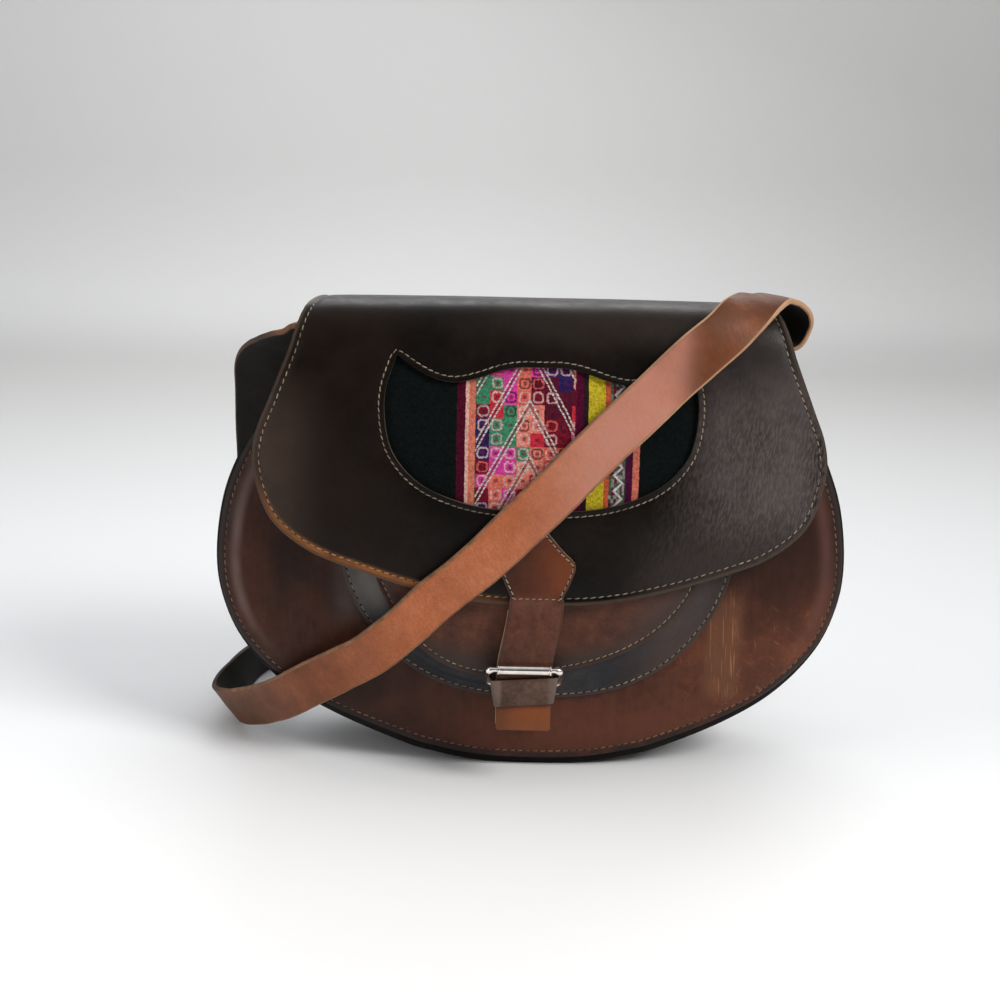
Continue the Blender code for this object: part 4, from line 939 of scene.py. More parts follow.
CLOSURE_SKIN = leather(
    "closure_skin", ((0.060, 0.022, 0.014), (0.100, 0.036, 0.022), (0.135, 0.048, 0.028)), blotch=40, specular=0.18,
    paint=[
        shaded((0.098, 0.021, 0.005), 0.95, upward(84, 88)),
        shaded((0.028, 0.009, 0.004), 0.95, upward(85, 90), across(6, -10)),
        shaded((0.16, 0.039, 0.0085), 0.8, upward(86, 92), upward(112, 98), across(2, 10)),
        shaded((0.20, 0.058, 0.018), 1.0, upward(41, 37)),
        shaded((0.09, 0.032, 0.016), 0.8, upward(41, 37), across(-8, -14)),
        rubbed((0.045, 0.028, 0.020), 1.2, 0.6, upward(38, 42)),
    ])
KEEPER_SKIN = leather(
    "keeper_skin", ((0.050, 0.028, 0.020), (0.085, 0.047, 0.033), (0.120, 0.070, 0.051)), blotch=60, specular=0.18,
    paint=[
        # A painted highlight on the keeper's left fold, and a lighter band along its right edge.
        shaded((0.17, 0.125, 0.10), 0.7, across(-13.5, -15.5)),
        shaded((0.15, 0.105, 0.09), 0.6, across(4.5, 7)),
    ])
STRAP_SKIN = leather(
    "strap_skin", ((0.34, 0.096, 0.036), (0.42, 0.128, 0.052), (0.48, 0.160, 0.072)), (0.42, 0.56), 1100, blotch=22,
    specular=0.2,
    streaks=[(27, (1000, 1000, 130), 0.05, (0.27, 0.078, 0.028), 0.6, ())],
    paint=[
        # A painted pink sheen across the middle of the strap.
        shaded((0.46, 0.215, 0.165), 0.75, across(-15, 30), across(85, 60)),
        shaded((0.112, 0.037, 0.015), 0.95, across(-45, -100), upward(100, 60)),
        shaded((0.085, 0.045, 0.026), 0.85, across(-105, -140), upward(70, 30)),
        shaded((0.13, 0.040, 0.013), 1.0, across(52, 70)),
        shaded((0.12, 0.036, 0.011), 1.0, across(56, 72)),
        shaded((0.085, 0.025, 0.008), 0.9, upward(198, 208)),
        rubbed((0.16, 0.055, 0.022), 1.6, 0.5),
    ])
# The strap's flesh side, painted near black for the deep shade it lies in.
STRAP_FLESH_IN_SHADE = flesh("strap_flesh_in_shade", (0.002, 0.0015, 0.001), (0.012, 0.008, 0.004))
FLESH = flesh("hide_flesh", (0.05, 0.030, 0.016), (0.12, 0.07, 0.036))
DARK_EDGE = cut_edge("dark_edge", (0.008, 0.006, 0.005), (0.022, 0.014, 0.010))
BODY_EDGE = cut_edge("body_edge", (0.012, 0.009, 0.008), (0.034, 0.024, 0.019),
                     [shaded((0.30, 0.24, 0.20), 0.9, across(45, 85), upward(85, 60))])
FLAP_CUT = cut_edge("flap_cut", (0.075, 0.052, 0.040), (0.17, 0.125, 0.098), [
    shaded((0.34, 0.20, 0.14), 0.9, across(-20, -60), upward(165, 130)),
    shaded((0.006, 0.004, 0.003), 1.0, lambda f: f.span(f.mark(1), WINDOW_CUT, WINDOW_CUT * 0.6)),
])
TAN_EDGE = cut_edge("tan_edge", (0.085, 0.038, 0.018), (0.20, 0.095, 0.045))
LIGHT_EDGE = cut_edge("light_edge", (0.28, 0.17, 0.10), (0.56, 0.40, 0.27))
STRAP_EDGE = cut_edge("strap_edge", (0.12, 0.050, 0.022), (0.26, 0.12, 0.052), [
    shaded((0.46, 0.26, 0.14), 0.9, across(15, 60)),
    shaded((0.016, 0.010, 0.007), 1.0, across(-100, -120), inward(-8, 4)),
])
STEEL = steel()
# Dark discs at the stitch holes: painted shade inside each hole.
STITCH_HOLE_SHADE = dull("stitch_hole_shade", (0.004, 0.0024, 0.0016), (0.005, 0.003, 0.002), (300,), (0.3, 0.7), 0.9)
THREADS = threads("thread", (0.12, 0.088, 0.060), (0.31, 0.245, 0.17))
DULL_THREADS = threads("dull_thread", (0.10, 0.075, 0.055), (0.26, 0.20, 0.145))
BROWN_THREADS = threads("brown_thread", (0.045, 0.028, 0.019), (0.20, 0.12, 0.075))
WOVEN = woven()


# Body pieces
PANEL_INSETS = millimetres(0, 0.5, 1.2, 2.0, 2.6, 3.0, 3.4, 4.1, 5.8, 9, 13, 18, 24)
PANEL_SHARES = (0.87, 0.74, 0.61, 0.48, 0.35, 0.22, 0.1)
FAR = 1.0
LIP_LOW, LIP_HIGH, LIP_FADE, BACK_LIP = millimetres(4.6, 0.9, 75, 0.4)
PANEL_GROOVE, PANEL_GROOVE_WIDTH = millimetres(0.35, 0.8)
PANEL_PUFF, PANEL_PUFF_RISE, PANEL_PUFF_END, PANEL_PUFF_FALL = millimetres(0.5, 6, 10, 14)
PANEL_ROLL, PANEL_ROLL_WIDTH, PANEL_FLARE, PANEL_FLARE_WIDTH = millimetres(0.9, 3.5, 1.0, 5)
PANEL_DENT, PANEL_DENT_SIZE, PANEL_DENT_FADE = millimetres(0.45, 30, 14)
CALM_HEIGHT, CALM_RADIUS, CALM_FADE = millimetres(100, 74, 16)
CALM_STRETCH, CALM_LEAST = 1.25, 0.1


def panel_y(points, edge, face_y, side):
    """The outer face of a panel at a distance from its edge, with a groove under the stitches."""
    x, z = points.T
    base = fade(z / BASE_FADE)
    groove = PANEL_GROOVE * dip(edge, BODY_STITCH, PANEL_GROOVE_WIDTH)
    puff = smooth((edge - BODY_STITCH) / PANEL_PUFF_RISE) * fade((edge - PANEL_PUFF_END) / PANEL_PUFF_FALL)
    roll = PANEL_ROLL * (1 - base) * np.clip(1 - edge / PANEL_ROLL_WIDTH, 0, 1) ** 2
    flare = PANEL_FLARE * base * fade(edge / PANEL_FLARE_WIDTH) if side < 0 else 0
    soft = rumple(points, PANEL_DENT_SIZE, 3 + side) * PANEL_DENT * smooth(edge / PANEL_DENT_FADE)
    past = smooth((np.hypot(x / CALM_STRETCH, z - CALM_HEIGHT) - CALM_RADIUS) / CALM_FADE)
    return face_y(x, z) + side * (PANEL_PUFF * puff - groove - roll + flare + soft * mix(CALM_LEAST, 1, past))


def make_panel(name, node, face_y, side, materials):
    """A panel in rings from its edge to its middle. It gives back the line of its seam."""
    first = mix(LIP_LOW, LIP_HIGH, smooth(BODY_RING[:, 1] / LIP_FADE)) if side < 0 else BACK_LIP

    def ring_at(inset, edge, share=1.0):
        ring = drawn_in(BODY_RING, BODY_CENTRE, first + inset, share)
        return lean(xyz(ring[:, 0], panel_y(ring, edge, face_y, side), ring[:, 1]))

    net = Net()
    last = PANEL_INSETS[-1]
    rows = [net.row(ring_at(d, d), (d, 0)) for d in PANEL_INSETS]
    rows += [net.row(ring_at(last, last + FAR, share), (last + FAR, 0)) for share in PANEL_SHARES]
    net.bands(rows, closed=True)
    net.fan(rows[-1], (0, middle_y(face_y, BODY_CENTRE[1]), BODY_CENTRE[1]), (0.03, 0))
    obj = hide(name, net, PANEL, materials, flip=side > 0)
    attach(obj, "bag")
    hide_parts(node)
    return ring_at(BODY_STITCH, BODY_STITCH)


front_seam = make_panel("front_leather", "front_panel", front_y, -1, [BODY_LEATHER, BODY_EDGE, FLESH])
back_seam = make_panel("back_leather", "back_panel", back_y, 1, [BACK_LEATHER, DARK_EDGE, FLESH])
stitches("front_seam", front_seam, FRONTWARD, "bag", BROWN_THREADS, 3, closed=True)
stitches("back_seam", back_seam, BACKWARD, "bag", BROWN_THREADS, 4, closed=True)


WALL_SHARES = np.linspace(-0.97, 0.97, 15)
MARGIN_SHARES = (0, 0.2, 0.45, 0.75, 0.95)
GUSSET_ROLL, GUSSET_FLARE, GUSSET_WAVE, GUSSET_WAVE_SIZE = millimetres(0.8, 0.8, 0.35, 18)


def make_gusset():
    run = both_sides(SIDE_LINE)
    along = np.gradient(run, axis=0)
    out = unit(np.stack([along[:, 1], -along[:, 0]], 1))
    run, out = run[1:-1], out[1:-1]
    base = fade(run[:, 1] / BASE_FADE)
    inner = run - out * SEAM_MARGIN

    def margin(share, face_y, side):
        x, z = mix(run, inner, share).T
        roll = GUSSET_ROLL * (1 - base) * (1 - share) ** 3
        flare = GUSSET_FLARE * base * (1 - share) ** 2 if side < 0 else 0
        return xyz(x, face_y(x, z) - side * (PANEL + SEAM_GAP + GUSSET / 2 + roll - flare), z)

    front, back = margin(1, front_y, -1)[:, 1] + FOLD_DEPTH, margin(1, back_y, 1)[:, 1] - FOLD_DEPTH
    rows = [margin(share, front_y, -1) for share in MARGIN_SHARES]
    for share in WALL_SHARES:
        side_inset = SEAM_MARGIN - SIDE_BELLY * (1 - share**2)
        past = max(abs(share) - WALL_FLAT, 0) / (1 - WALL_FLAT)
        base_inset = mix(GUSSET / 2, SEAM_MARGIN, past**2)
        spot = run - out * mix(side_inset, base_inset, base)[:, None]
        y = mix(front, back, (share + 1) / 2)
        wave = rumple(xyz(spot[:, 0], y, spot[:, 1]), GUSSET_WAVE_SIZE, 9) * GUSSET_WAVE * (1 - base)
        x, z = (spot + out * wave[:, None]).T
        rows.append(xyz(x, y, z))
    rows += [margin(share, back_y, 1) for share in MARGIN_SHARES[::-1]]
    net = Net()
    net.bands([net.row(lean(row)) for row in spline(rows, 2)])
    materials = [GUSSET_LEATHER, DARK_EDGE, GUSSET_LEATHER]
    obj = hide("gusset_leather", net, GUSSET, materials, offset=0.0)
    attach(obj, "bag")
    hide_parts("gusset")


make_gusset()


# Front pocket
CLIMB, CLIMB_SWING, CLIMB_WIDTH, CLIMB_START, CLIMB_FADE = millimetres(0.8, 5.2, 38, 12, 45)
RIM_INSETS = millimetres(0, 0.5, 1.2, 1.8, 2.4, 3.4, 4.6, 6, 8, 10, 11.6, 13, 14.5, 16.5)
RIM_GROOVE, RIM_GROOVE_WIDTH, RIM_CLIMB_START, RIM_CLIMB_RISE = millimetres(0.25, 0.6, 2.4, 9)
FACE_INSETS = millimetres(0, 0.4, 1.0, 1.6, 2.0, 2.4, 3.2, 5, 8, 12)
FACE_SHARES = (0.84, 0.68, 0.52, 0.36, 0.2)
FACE_FAR = 14 * MM
FACE_GROOVE, FACE_GROOVE_WIDTH, FACE_PUFF, FACE_PUFF_RISE, FACE_SINK = millimetres(0.3, 0.6, 0.7, 9, 0.3)
FACE_DENT, FACE_DENT_SIZE, FACE_DENT_FADE = millimetres(0.4, 28, 12)
THREAD_SINK = 0.2 * MM


def pocket_half(inset):
    return half_outline(POCKET_OUTLINE, POCKET_HALF - inset, POCKET_BOTTOM + inset, POCKET_TOP, 7)


def pocket_y(x, z):
    side = np.minimum(np.abs(x) / POCKET_HALF, 1.0) ** POCKET_POWER
    return front_y(x, z) - mix(POCKET_DEPTH, POCKET_SIDE_DEPTH, side)


def pocket_rim_y(x, z, inset):
    low = front_y(x, z) - GAP - RIM_LEATHER / 2
    high = pocket_y(x, z) + POCKET_LEATHER + GAP + RIM_LEATHER / 2
    return mix(low, high, smooth((inset - POCKET_MARGIN) / (POCKET_RISE - POCKET_MARGIN)))


def pocket_climb(x, z):
    """How much higher the face's lower edge lies on the right, where the band is wider."""
    low = fade((z - POCKET_BOTTOM - CLIMB_START) / CLIMB_FADE)
    return (CLIMB + CLIMB_SWING * np.tanh(x / CLIMB_WIDTH)) * low


def make_pocket_rim():
    net = Net()
    rows = []
    for inset in RIM_INSETS:
        x, z = both_sides(pocket_half(inset)).T
        y = pocket_rim_y(x, z, inset) + RIM_GROOVE * dip(inset, RIM_STITCH, RIM_GROOVE_WIDTH)
        climb = pocket_climb(x, z) * smooth((inset - RIM_CLIMB_START) / RIM_CLIMB_RISE)
        rows.append(net.row(xyz(x, y, z + climb), (inset, 0)))
    net.bands(rows)
    rim = hide("pocket_rim_leather", net, RIM_LEATHER, [RIM_SKIN, DARK_EDGE, FLESH], offset=0.0)
    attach(rim, "bag")
    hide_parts("pocket_rim")
    x, z = both_sides(pocket_half(RIM_STITCH)).T
    path = xyz(x, pocket_rim_y(x, z, 0) - RIM_LEATHER / 2 + THREAD_SINK, z)
    stitches("pocket_outer_seam", path, FRONTWARD, "bag", DULL_THREADS, 5, width=0.55 * MM)


def pocket_face_points(spots, edge):
    x, z = spots.T
    groove = FACE_GROOVE * dip(edge, POCKET_STITCH, FACE_GROOVE_WIDTH)
    puff = FACE_PUFF * smooth((edge - POCKET_STITCH) / FACE_PUFF_RISE)
    soft = rumple(spots, FACE_DENT_SIZE, 12) * FACE_DENT * smooth(edge / FACE_DENT_FADE)
    return xyz(x, pocket_y(x, z) + groove - puff + FACE_SINK - soft, z + pocket_climb(x, z))


def make_pocket_face():
    half = pocket_half(POCKET_RISE)
    ring = mirrored(np.vstack([half, np.linspace(half[-1], (0, POCKET_TOP), 16)[1:]]))
    centre = np.array((0, mix(POCKET_BOTTOM, POCKET_TOP, 0.55)))
    net = Net()
    rows = [net.row(pocket_face_points(drawn_in(ring, centre, d), d), (d, 0)) for d in FACE_INSETS]
    for share in FACE_SHARES:
        spots = drawn_in(ring, centre, FACE_INSETS[-1], share)
        rows.append(net.row(pocket_face_points(spots, FACE_FAR), (FACE_FAR, 0)))
    net.bands(rows, closed=True)
    net.fan(rows[-1], pocket_face_points(centre[None], FACE_FAR)[0], (FACE_FAR, 0))
    materials = [POCKET_SKIN, TAN_EDGE, FLESH]
    face = hide("pocket_leather", net, POCKET_LEATHER, materials, bevel=0.35 * MM)
    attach(face, "bag")
    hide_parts("pocket_face")
    path = pocket_face_points(both_sides(pocket_half(POCKET_RISE + POCKET_STITCH)), POCKET_STITCH)
    stitches("pocket_inner_seam", path, FRONTWARD, "bag", THREADS, 6, pitch=3.0 * MM)


make_pocket_rim()
make_pocket_face()


# Flap. Its own two coordinates are x and the distance from the hinge along its middle line
HINGE_Y = TOP_DEPTH + GAP + FLAP_LEATHER / 2
HINGE_Z = HEIGHT + HINGE_RISE
FLAP_STACK = FLAP_LEATHER + GAP + CLOTH + GAP + LINING
SHOULDER_Z = FLAP_TOP - FLAP_SHOULDER


def flap_front(z):
    stand = mix(POCKET_DEPTH, FLAP_STAND, smooth((z - POCKET_TOP) / (HEIGHT - POCKET_TOP)))
    return float(middle_y(front_y, z) - stand - FLAP_CLEARANCE - FLAP_STACK)


def flap_profile():
    """The flap's outer face on the middle line, as (y, z) from the hinge to the lower edge."""
    outward = np.array((math.sin(HINGE_SLOPE), math.cos(HINGE_SLOPE)))
    start = np.array((HINGE_Y, HINGE_Z)) + outward * FLAP_LEATHER / 2
    front = flap_front(SHOULDER_Z)
    points = [start] + [np.array((mix(start[0], front, a), mix(start[1], FLAP_TOP, b))) for a, b in CROWN]
    points += [np.array((flap_front(z), z)) for z in (mix(SHOULDER_Z, FLAP_BOTTOM, share) for share in FLAP_FRONT)]
    along = np.array((-math.cos(HINGE_SLOPE), math.sin(HINGE_SLOPE)))
    return spline(points, 10, before=start - along * np.linalg.norm(points[1] - start))


PROFILE = flap_profile()
PROFILE_RUN = lengths_of(PROFILE)
PROFILE_OUT = unit(np.gradient(PROFILE, axis=0)[:, ::-1] * (1, -1))
IN_FRONT = -10 * MM
FRONT_START = int(np.argmin(np.abs(PROFILE[:, 1] - SHOULDER_Z) + (PROFILE[:, 0] > IN_FRONT)))


def run_at(z):
    """The distance from the hinge, along the profile, at which the hanging front has the given height."""
    return np.interp(-np.asarray(z, float), -PROFILE[FRONT_START:, 1], PROFILE_RUN[FRONT_START:])


SHOULDER_RUN = float(run_at(SHOULDER_Z))


def flap_place(points, depth=0.0):
    """Places in space of points of the flap, a depth under its outer face."""
    x, run = points.T
    y, z, out_y, out_z = (np.interp(run, PROFILE_RUN, line) for line in (*PROFILE.T, *PROFILE_OUT.T))
    front = smooth((run - SHOULDER_RUN) / FLAP_FALL_FADE)
    side = (np.abs(x) / FLAP_HALF) ** FLAP_POWER
    fall = CROWN_SIDE_FALL * side * (1 - front)
    return xyz(x, y - out_y * depth + FLAP_EDGE_FALL * side * front, z - out_z * depth - fall)


def flap_lines():
    """The half outline of the hanging front, and the window's half outline up to its tip and from there."""
    outer = half_outline(FLAP_OUTLINE, FLAP_HALF, FLAP_BOTTOM, FLAP_TOP, 8, [(SHOULDER_WIDTH * FLAP_HALF, SHOULDER_Z)])
    side = half_outline(WINDOW_SIDE, WINDOW_HALF, WINDOW_BOTTOM, WINDOW_TIP, 6)
    crown = (WINDOW_SIDE[-1], *WINDOW_CROWN)
    top = spline([(a * WINDOW_HALF, mix(WINDOW_BOTTOM, WINDOW_TIP, b)) for a, b in crown], 5)
    for line in (outer, side, top):
        line[:, 1] = run_at(line[:, 1])
    return outer, side, top


FLAP_SIDE, WINDOW_SIDE_LINE, WINDOW_TOP_LINE = flap_lines()
SIDE_COUNT, TIP_COUNT, TOP_COUNT = 66, 5, 30
TIP_EASE = 5 * MM
OUTER_STEPS = millimetres(0, 0.5, 1.2, 2.0, 2.6, 3.0, 3.4, 4.4, 7.0)
WINDOW_STEPS = millimetres(5.2, 3.6, 2.8, 2.2, 1.6, 1.0, 0.4, 0)
STEPS_SHARE = 0.42
FLAP_SHARES, LINING_SHARES = (0.17, 0.33, 0.5, 0.67, 0.83), (0.25, 0.5, 0.75)


def flap_ring_pair():
    """The flap's and the window's rings, with matching points."""
    corner = FLAP_SIDE[-1]
    over_tip = WINDOW_SIDE_LINE[-1][0] + TIP_EASE
    near = corner[0] - OUTER_STEPS[1:]
    past = [np.linspace(near[-1], over_tip, TIP_COUNT + 1)[1:], np.linspace(over_tip, 0, TOP_COUNT + 1)[1:]]
    shoulder = np.concatenate([near, *past])
    outer = np.vstack([resample(FLAP_SIDE, SIDE_COUNT), np.stack([shoulder, shoulder * 0 + corner[1]], 1)])
    side = resample(WINDOW_SIDE_LINE, SIDE_COUNT + len(near) + TIP_COUNT)
    window = np.vstack([side, resample(WINDOW_TOP_LINE, TOP_COUNT + 1)[1:]])
    return mirrored(outer), mirrored(window)


OUTER_RING, WINDOW_RING = flap_ring_pair()
WINDOW_LOOP = np.vstack([WINDOW_RING, WINDOW_RING[:1]])
SHOULDER = slice(SIDE_COUNT - 1, len(OUTER_RING) - SIDE_COUNT + 2)
SHOULDER_SHARES = OUTER_RING[SHOULDER, 0] / FLAP_SIDE[-1][0]
CLOTH_ZERO, WINDOW_FOCUS = (float(run_at(mix(WINDOW_BOTTOM, WINDOW_TIP, share))) for share in (0.36, 0.12))
WINDOW_MIDDLE = np.array((0, WINDOW_FOCUS))


def crown_row(run):
    half = mix(CROWN_WIDTH, SHOULDER_WIDTH, (run / SHOULDER_RUN) ** 3) * FLAP_HALF
    return np.stack([SHOULDER_SHARES * half, SHOULDER_SHARES * 0 + run], 1)


CROWN_RUNS = np.linspace(SHOULDER_RUN, 0, 15)[1:]
CROWN_SIDE = np.array([crown_row(run)[0] for run in CROWN_RUNS])
FLAP_EDGE = np.vstack([CROWN_SIDE[::-1], FLAP_SIDE[::-1], FLAP_SIDE[1:] * (-1, 1), CROWN_SIDE * (-1, 1)])


def flap_edges(points):
    """The distances from points of the flap to its edge and to the window's."""
    return np.stack([edge_distance(points, FLAP_EDGE), edge_distance(points, WINDOW_LOOP)], 1)


def flap_rings(shares):
    ray = WINDOW_RING - OUTER_RING
    reach = np.linalg.norm(ray, axis=1)
    ray = unit(ray)
    start, end = (np.minimum(step, STEPS_SHARE * reach) for step in (OUTER_STEPS[-1], WINDOW_STEPS[0]))
    rings = [OUTER_RING + ray * (start * d / OUTER_STEPS[-1])[:, None] for d in OUTER_STEPS]
    rings += [OUTER_RING + ray * mix(start, reach - end, share)[:, None] for share in shares]
    return rings + [WINDOW_RING - ray * (end * d / WINDOW_STEPS[0])[:, None] for d in WINDOW_STEPS]


def window_rings(shares):
    return [mix(WINDOW_MIDDLE, WINDOW_RING, share) for share in shares]


FLAP_GROOVE, FLAP_GROOVE_WIDTH, WINDOW_GROOVE, WINDOW_GROOVE_WIDTH = millimetres(0.4, 0.75, 0.22, 0.5)
PILLOW, PILLOW_RISE, PILLOW_WINDOW_RISE, FLAP_CALM, WINDOW_CALM = millimetres(0.8, 8, 6, 12, 9)
FLAP_DENT, FLAP_DENT_SIZE = millimetres(0.9, 45)
FLAP_WAVE, FLAP_WAVE_SIZE, FLAP_WAVE_START, FLAP_WAVE_FADE = millimetres(0.5, 30, 30, 50)
FLAP_WAVE_STRETCH = (1.6, 0.7)
FLAP_RIPPLE, FLAP_RIPPLE_SIZE, FLAP_RIPPLE_FADE = millimetres(0.35, 22, 16)


def flap_relief(points):
    """Height over the flap's plain surface: a pillow between two sewn edges, with soft dents and a few creases."""
    x, run = points.T
    edge, window = edges = flap_edges(points).T
    seam = FLAP_GROOVE * dip(edge, FLAP_STITCH, FLAP_GROOVE_WIDTH)
    groove = seam + WINDOW_GROOVE * dip(window, WINDOW_STITCH, WINDOW_GROOVE_WIDTH)
    pillow = smooth((edge - FLAP_STITCH) / PILLOW_RISE) * smooth((window - WINDOW_STITCH) / PILLOW_WINDOW_RISE)
    calm = smooth(edge / FLAP_CALM) * smooth(window / WINDOW_CALM)
    soft = rumple(points, FLAP_DENT_SIZE, 21) * FLAP_DENT * calm
    bend = FLAP_WAVE * smooth((x - FLAP_WAVE_START) / FLAP_WAVE_FADE) * calm
    wave = rumple(points * FLAP_WAVE_STRETCH, FLAP_WAVE_SIZE, 33) * bend
    ripple = rumple(points, FLAP_RIPPLE_SIZE, 41) * FLAP_RIPPLE * fade(edge / FLAP_RIPPLE_FADE)
    height = mix(-seam, PILLOW * pillow - groove + soft + wave + ripple, smooth(run / SHOULDER_RUN))
    return height, edges.T


MARGIN_STEPS = (0, 0.12, 0.3, 0.5, 0.7, 0.86, 0.95, 1.0)
MARGIN_STAND, MARGIN_THREAD_SINK = 0.3 * MM, 0.1 * MM
FAR_MARK = 0.05


def margin_y(x, z):
    """The outer face of the margin that is sewn to the back."""
    return np.maximum(back_y(x, min(z, HEIGHT)) + GAP + FLAP_LEATHER, HINGE_Y + FLAP_LEATHER / 2)


def make_flap():
    net = Net()

    def flap_row(points):
        height, marks = flap_relief(points)
        return net.row(flap_place(points, -height), marks)

    rows = [flap_row(ring) for ring in flap_rings(FLAP_SHARES)]
    net.bands(rows, closed=True)
    crown = [rows[0][SHOULDER]] + [flap_row(crown_row(run)) for run in CROWN_RUNS]
    columns = CROWN_SIDE[-1][0] * SHOULDER_SHARES
    for share in MARGIN_STEPS:
        z = HINGE_Z - HINGE_EASE - MARGIN_DROP * share
        edge = np.minimum(np.abs(np.abs(columns) - columns[0]), MARGIN_DROP * (1 - share))
        groove = FLAP_GROOVE * dip(edge, FLAP_STITCH, FLAP_GROOVE_WIDTH)
        points = xyz(columns, margin_y(columns, z) - groove + MARGIN_STAND, z)
        crown.append(net.row(points, np.stack([edge, edge * 0 + FAR_MARK], 1)))
    for low, high in zip(crown, crown[1:]):
        net.band(high, low)
    materials = [FLAP_SKIN, FLAP_CUT, FLESH]
    flap_leather = hide("flap_leather", net, FLAP_LEATHER, materials, bevel=0.5 * MM)
    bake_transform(flap_leather)
    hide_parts("flap_outer")
    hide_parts("flap_margin")


make_flap()


# Woven inset and lining behind the flap
CLOTH_OVERLAP = slice(-7, -1)
CLOTH_SHARES = (1, 0.9, 0.8, 0.68, 0.55, 0.42, 0.3, 0.18, 0.08)
CLOTH_LIFT, CLOTH_LIFT_RISE, CLOTH_DENT, CLOTH_DENT_SIZE = millimetres(0.7, 6, 0.25, 20)
CENTIMETRES = 100
LINING_INNER_SHARES = (0.85, 0.65, 0.4, 0.2)
LINING_DIP = 12 * MM
UNDER_FLAP = FLAP_LEATHER + GAP
UNDER_CLOTH = UNDER_FLAP + CLOTH + GAP


def make_cloth():
    net = Net()
    rows = []
    for ring in flap_rings(FLAP_SHARES)[CLOTH_OVERLAP] + window_rings(CLOTH_SHARES):
        lift = CLOTH_LIFT * smooth(edge_distance(ring, WINDOW_LOOP) / CLOTH_LIFT_RISE)
        lift += rumple(ring, CLOTH_DENT_SIZE, 51) * CLOTH_DENT
        marks = np.stack([ring[:, 0], CLOTH_ZERO - ring[:, 1]], 1) * CENTIMETRES
        rows.append(net.row(flap_place(ring, UNDER_FLAP - lift), marks))
    net.bands(rows, closed=True)
    middle = flap_place(WINDOW_MIDDLE[None], UNDER_FLAP - CLOTH_LIFT)[0]
    net.fan(rows[-1], middle, (0.0, (CLOTH_ZERO - WINDOW_FOCUS) * CENTIMETRES))
    obj = hide("woven_inset", net, CLOTH, [WOVEN, WOVEN], bevel=0.15 * MM)
    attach(obj, "flap")
    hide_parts("textile_inset")


def make_lining():
    net = Net()
    far = (FAR_MARK, FAR_MARK)
    rows = []
    for ring in flap_rings(LINING_SHARES):
        marks = flap_edges(ring)
        depth = mix(UNDER_FLAP, UNDER_CLOTH, fade(marks[:, 1] / LINING_DIP))
        rows.append(net.row(flap_place(ring, depth), marks))
    rows += [net.row(flap_place(ring, UNDER_CLOTH), far) for ring in window_rings(LINING_INNER_SHARES)]
    net.bands(rows, closed=True)
    net.fan(rows[-1], flap_place(WINDOW_MIDDLE[None], UNDER_CLOTH)[0], far)
    low = rows[0][SHOULDER]
    for run in CROWN_RUNS[CROWN_RUNS >= LINING_SETBACK]:
        high = net.row(flap_place(crown_row(run), UNDER_FLAP), far)
        net.band(high, low)
        low = high
    materials = [LINING_SKIN, TAN_EDGE, LINING_SKIN]
    obj = hide("flap_lining_leather", net, LINING, materials, bevel=THIN_ROUND)
    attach(obj, "flap")
    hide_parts("flap_lining")


make_cloth()
make_lining()


def flap_path(line):
    """The path and outward directions of a seam along a line of the flap's own two coordinates."""
    path, out = on_surface(lambda points: flap_place(points, -flap_relief(points)[0]), line)
    return path, out * np.sign(-out[:, 1:2] + out[:, 2:3] * 0.5)


def make_flap_seams():
    half = resample(offset_line(FLAP_SIDE, -FLAP_STITCH), 90)
    half = half[half[:, 0] > 0]
    right = np.vstack([(0, half[0][1]), half, (CROWN_SIDE - (FLAP_STITCH, 0))[:-2]])
    path, out = flap_path(resample(both_sides(right), 420))
    stitches("flap_seam", path, out, "flap", THREADS, 7)
    path, out = flap_path(resample(offset_line(WINDOW_RING, WINDOW_STITCH, closed=True), 320))
    stitches("window_seam", path, out, "flap", THREADS, 8, pitch=2.9 * MM, closed=True)
    half = CROWN_SIDE[-1][0] - FLAP_STITCH
    x, z = np.linspace(-half, half, 120), HINGE_Z - HINGE_EASE - MARGIN_DROP + FLAP_STITCH
    path = xyz(x, margin_y(x, z) - MARGIN_THREAD_SINK, z)
    stitches("margin_seam", path, BACKWARD, "bag", THREADS, 9)


make_flap_seams()


# Closure strap, buckle, keeper
COLUMNS = np.concatenate([[-1, -0.96, -0.88], np.linspace(-0.76, 0.76, 9), [0.88, 0.96, 1]])
PATCH_LINE = [np.array((side * PATCH_HALF, mix(PATCH_WAIST, PATCH_APEX, up))) for side, up in PATCH]
PATCH_CORNER = 4
LEAST_HALF, CLOSURE_PILLOW, CLOSURE_PILLOW_RISE = millimetres(0.3, 0.35, 3)
CLOSURE_LINING_TOP, CLOSURE_LINING_INSET, CLOSURE_LINING_SHIFT = millimetres(2.2, 0.3, 0.7)


def closure_y(z):
    on_flap = flap_front(max(z, FLAP_BOTTOM)) - GAP - CLOSURE / 2
    return mix(on_flap, CLOSURE_Y, smooth((FLAP_BOTTOM - z) / CLOSURE_SETTLE))


def closure_x(z):
    return -BUCKLE_SHIFT * smooth((PATCH_WAIST - z) / (PATCH_WAIST - KEEPER_TOP))


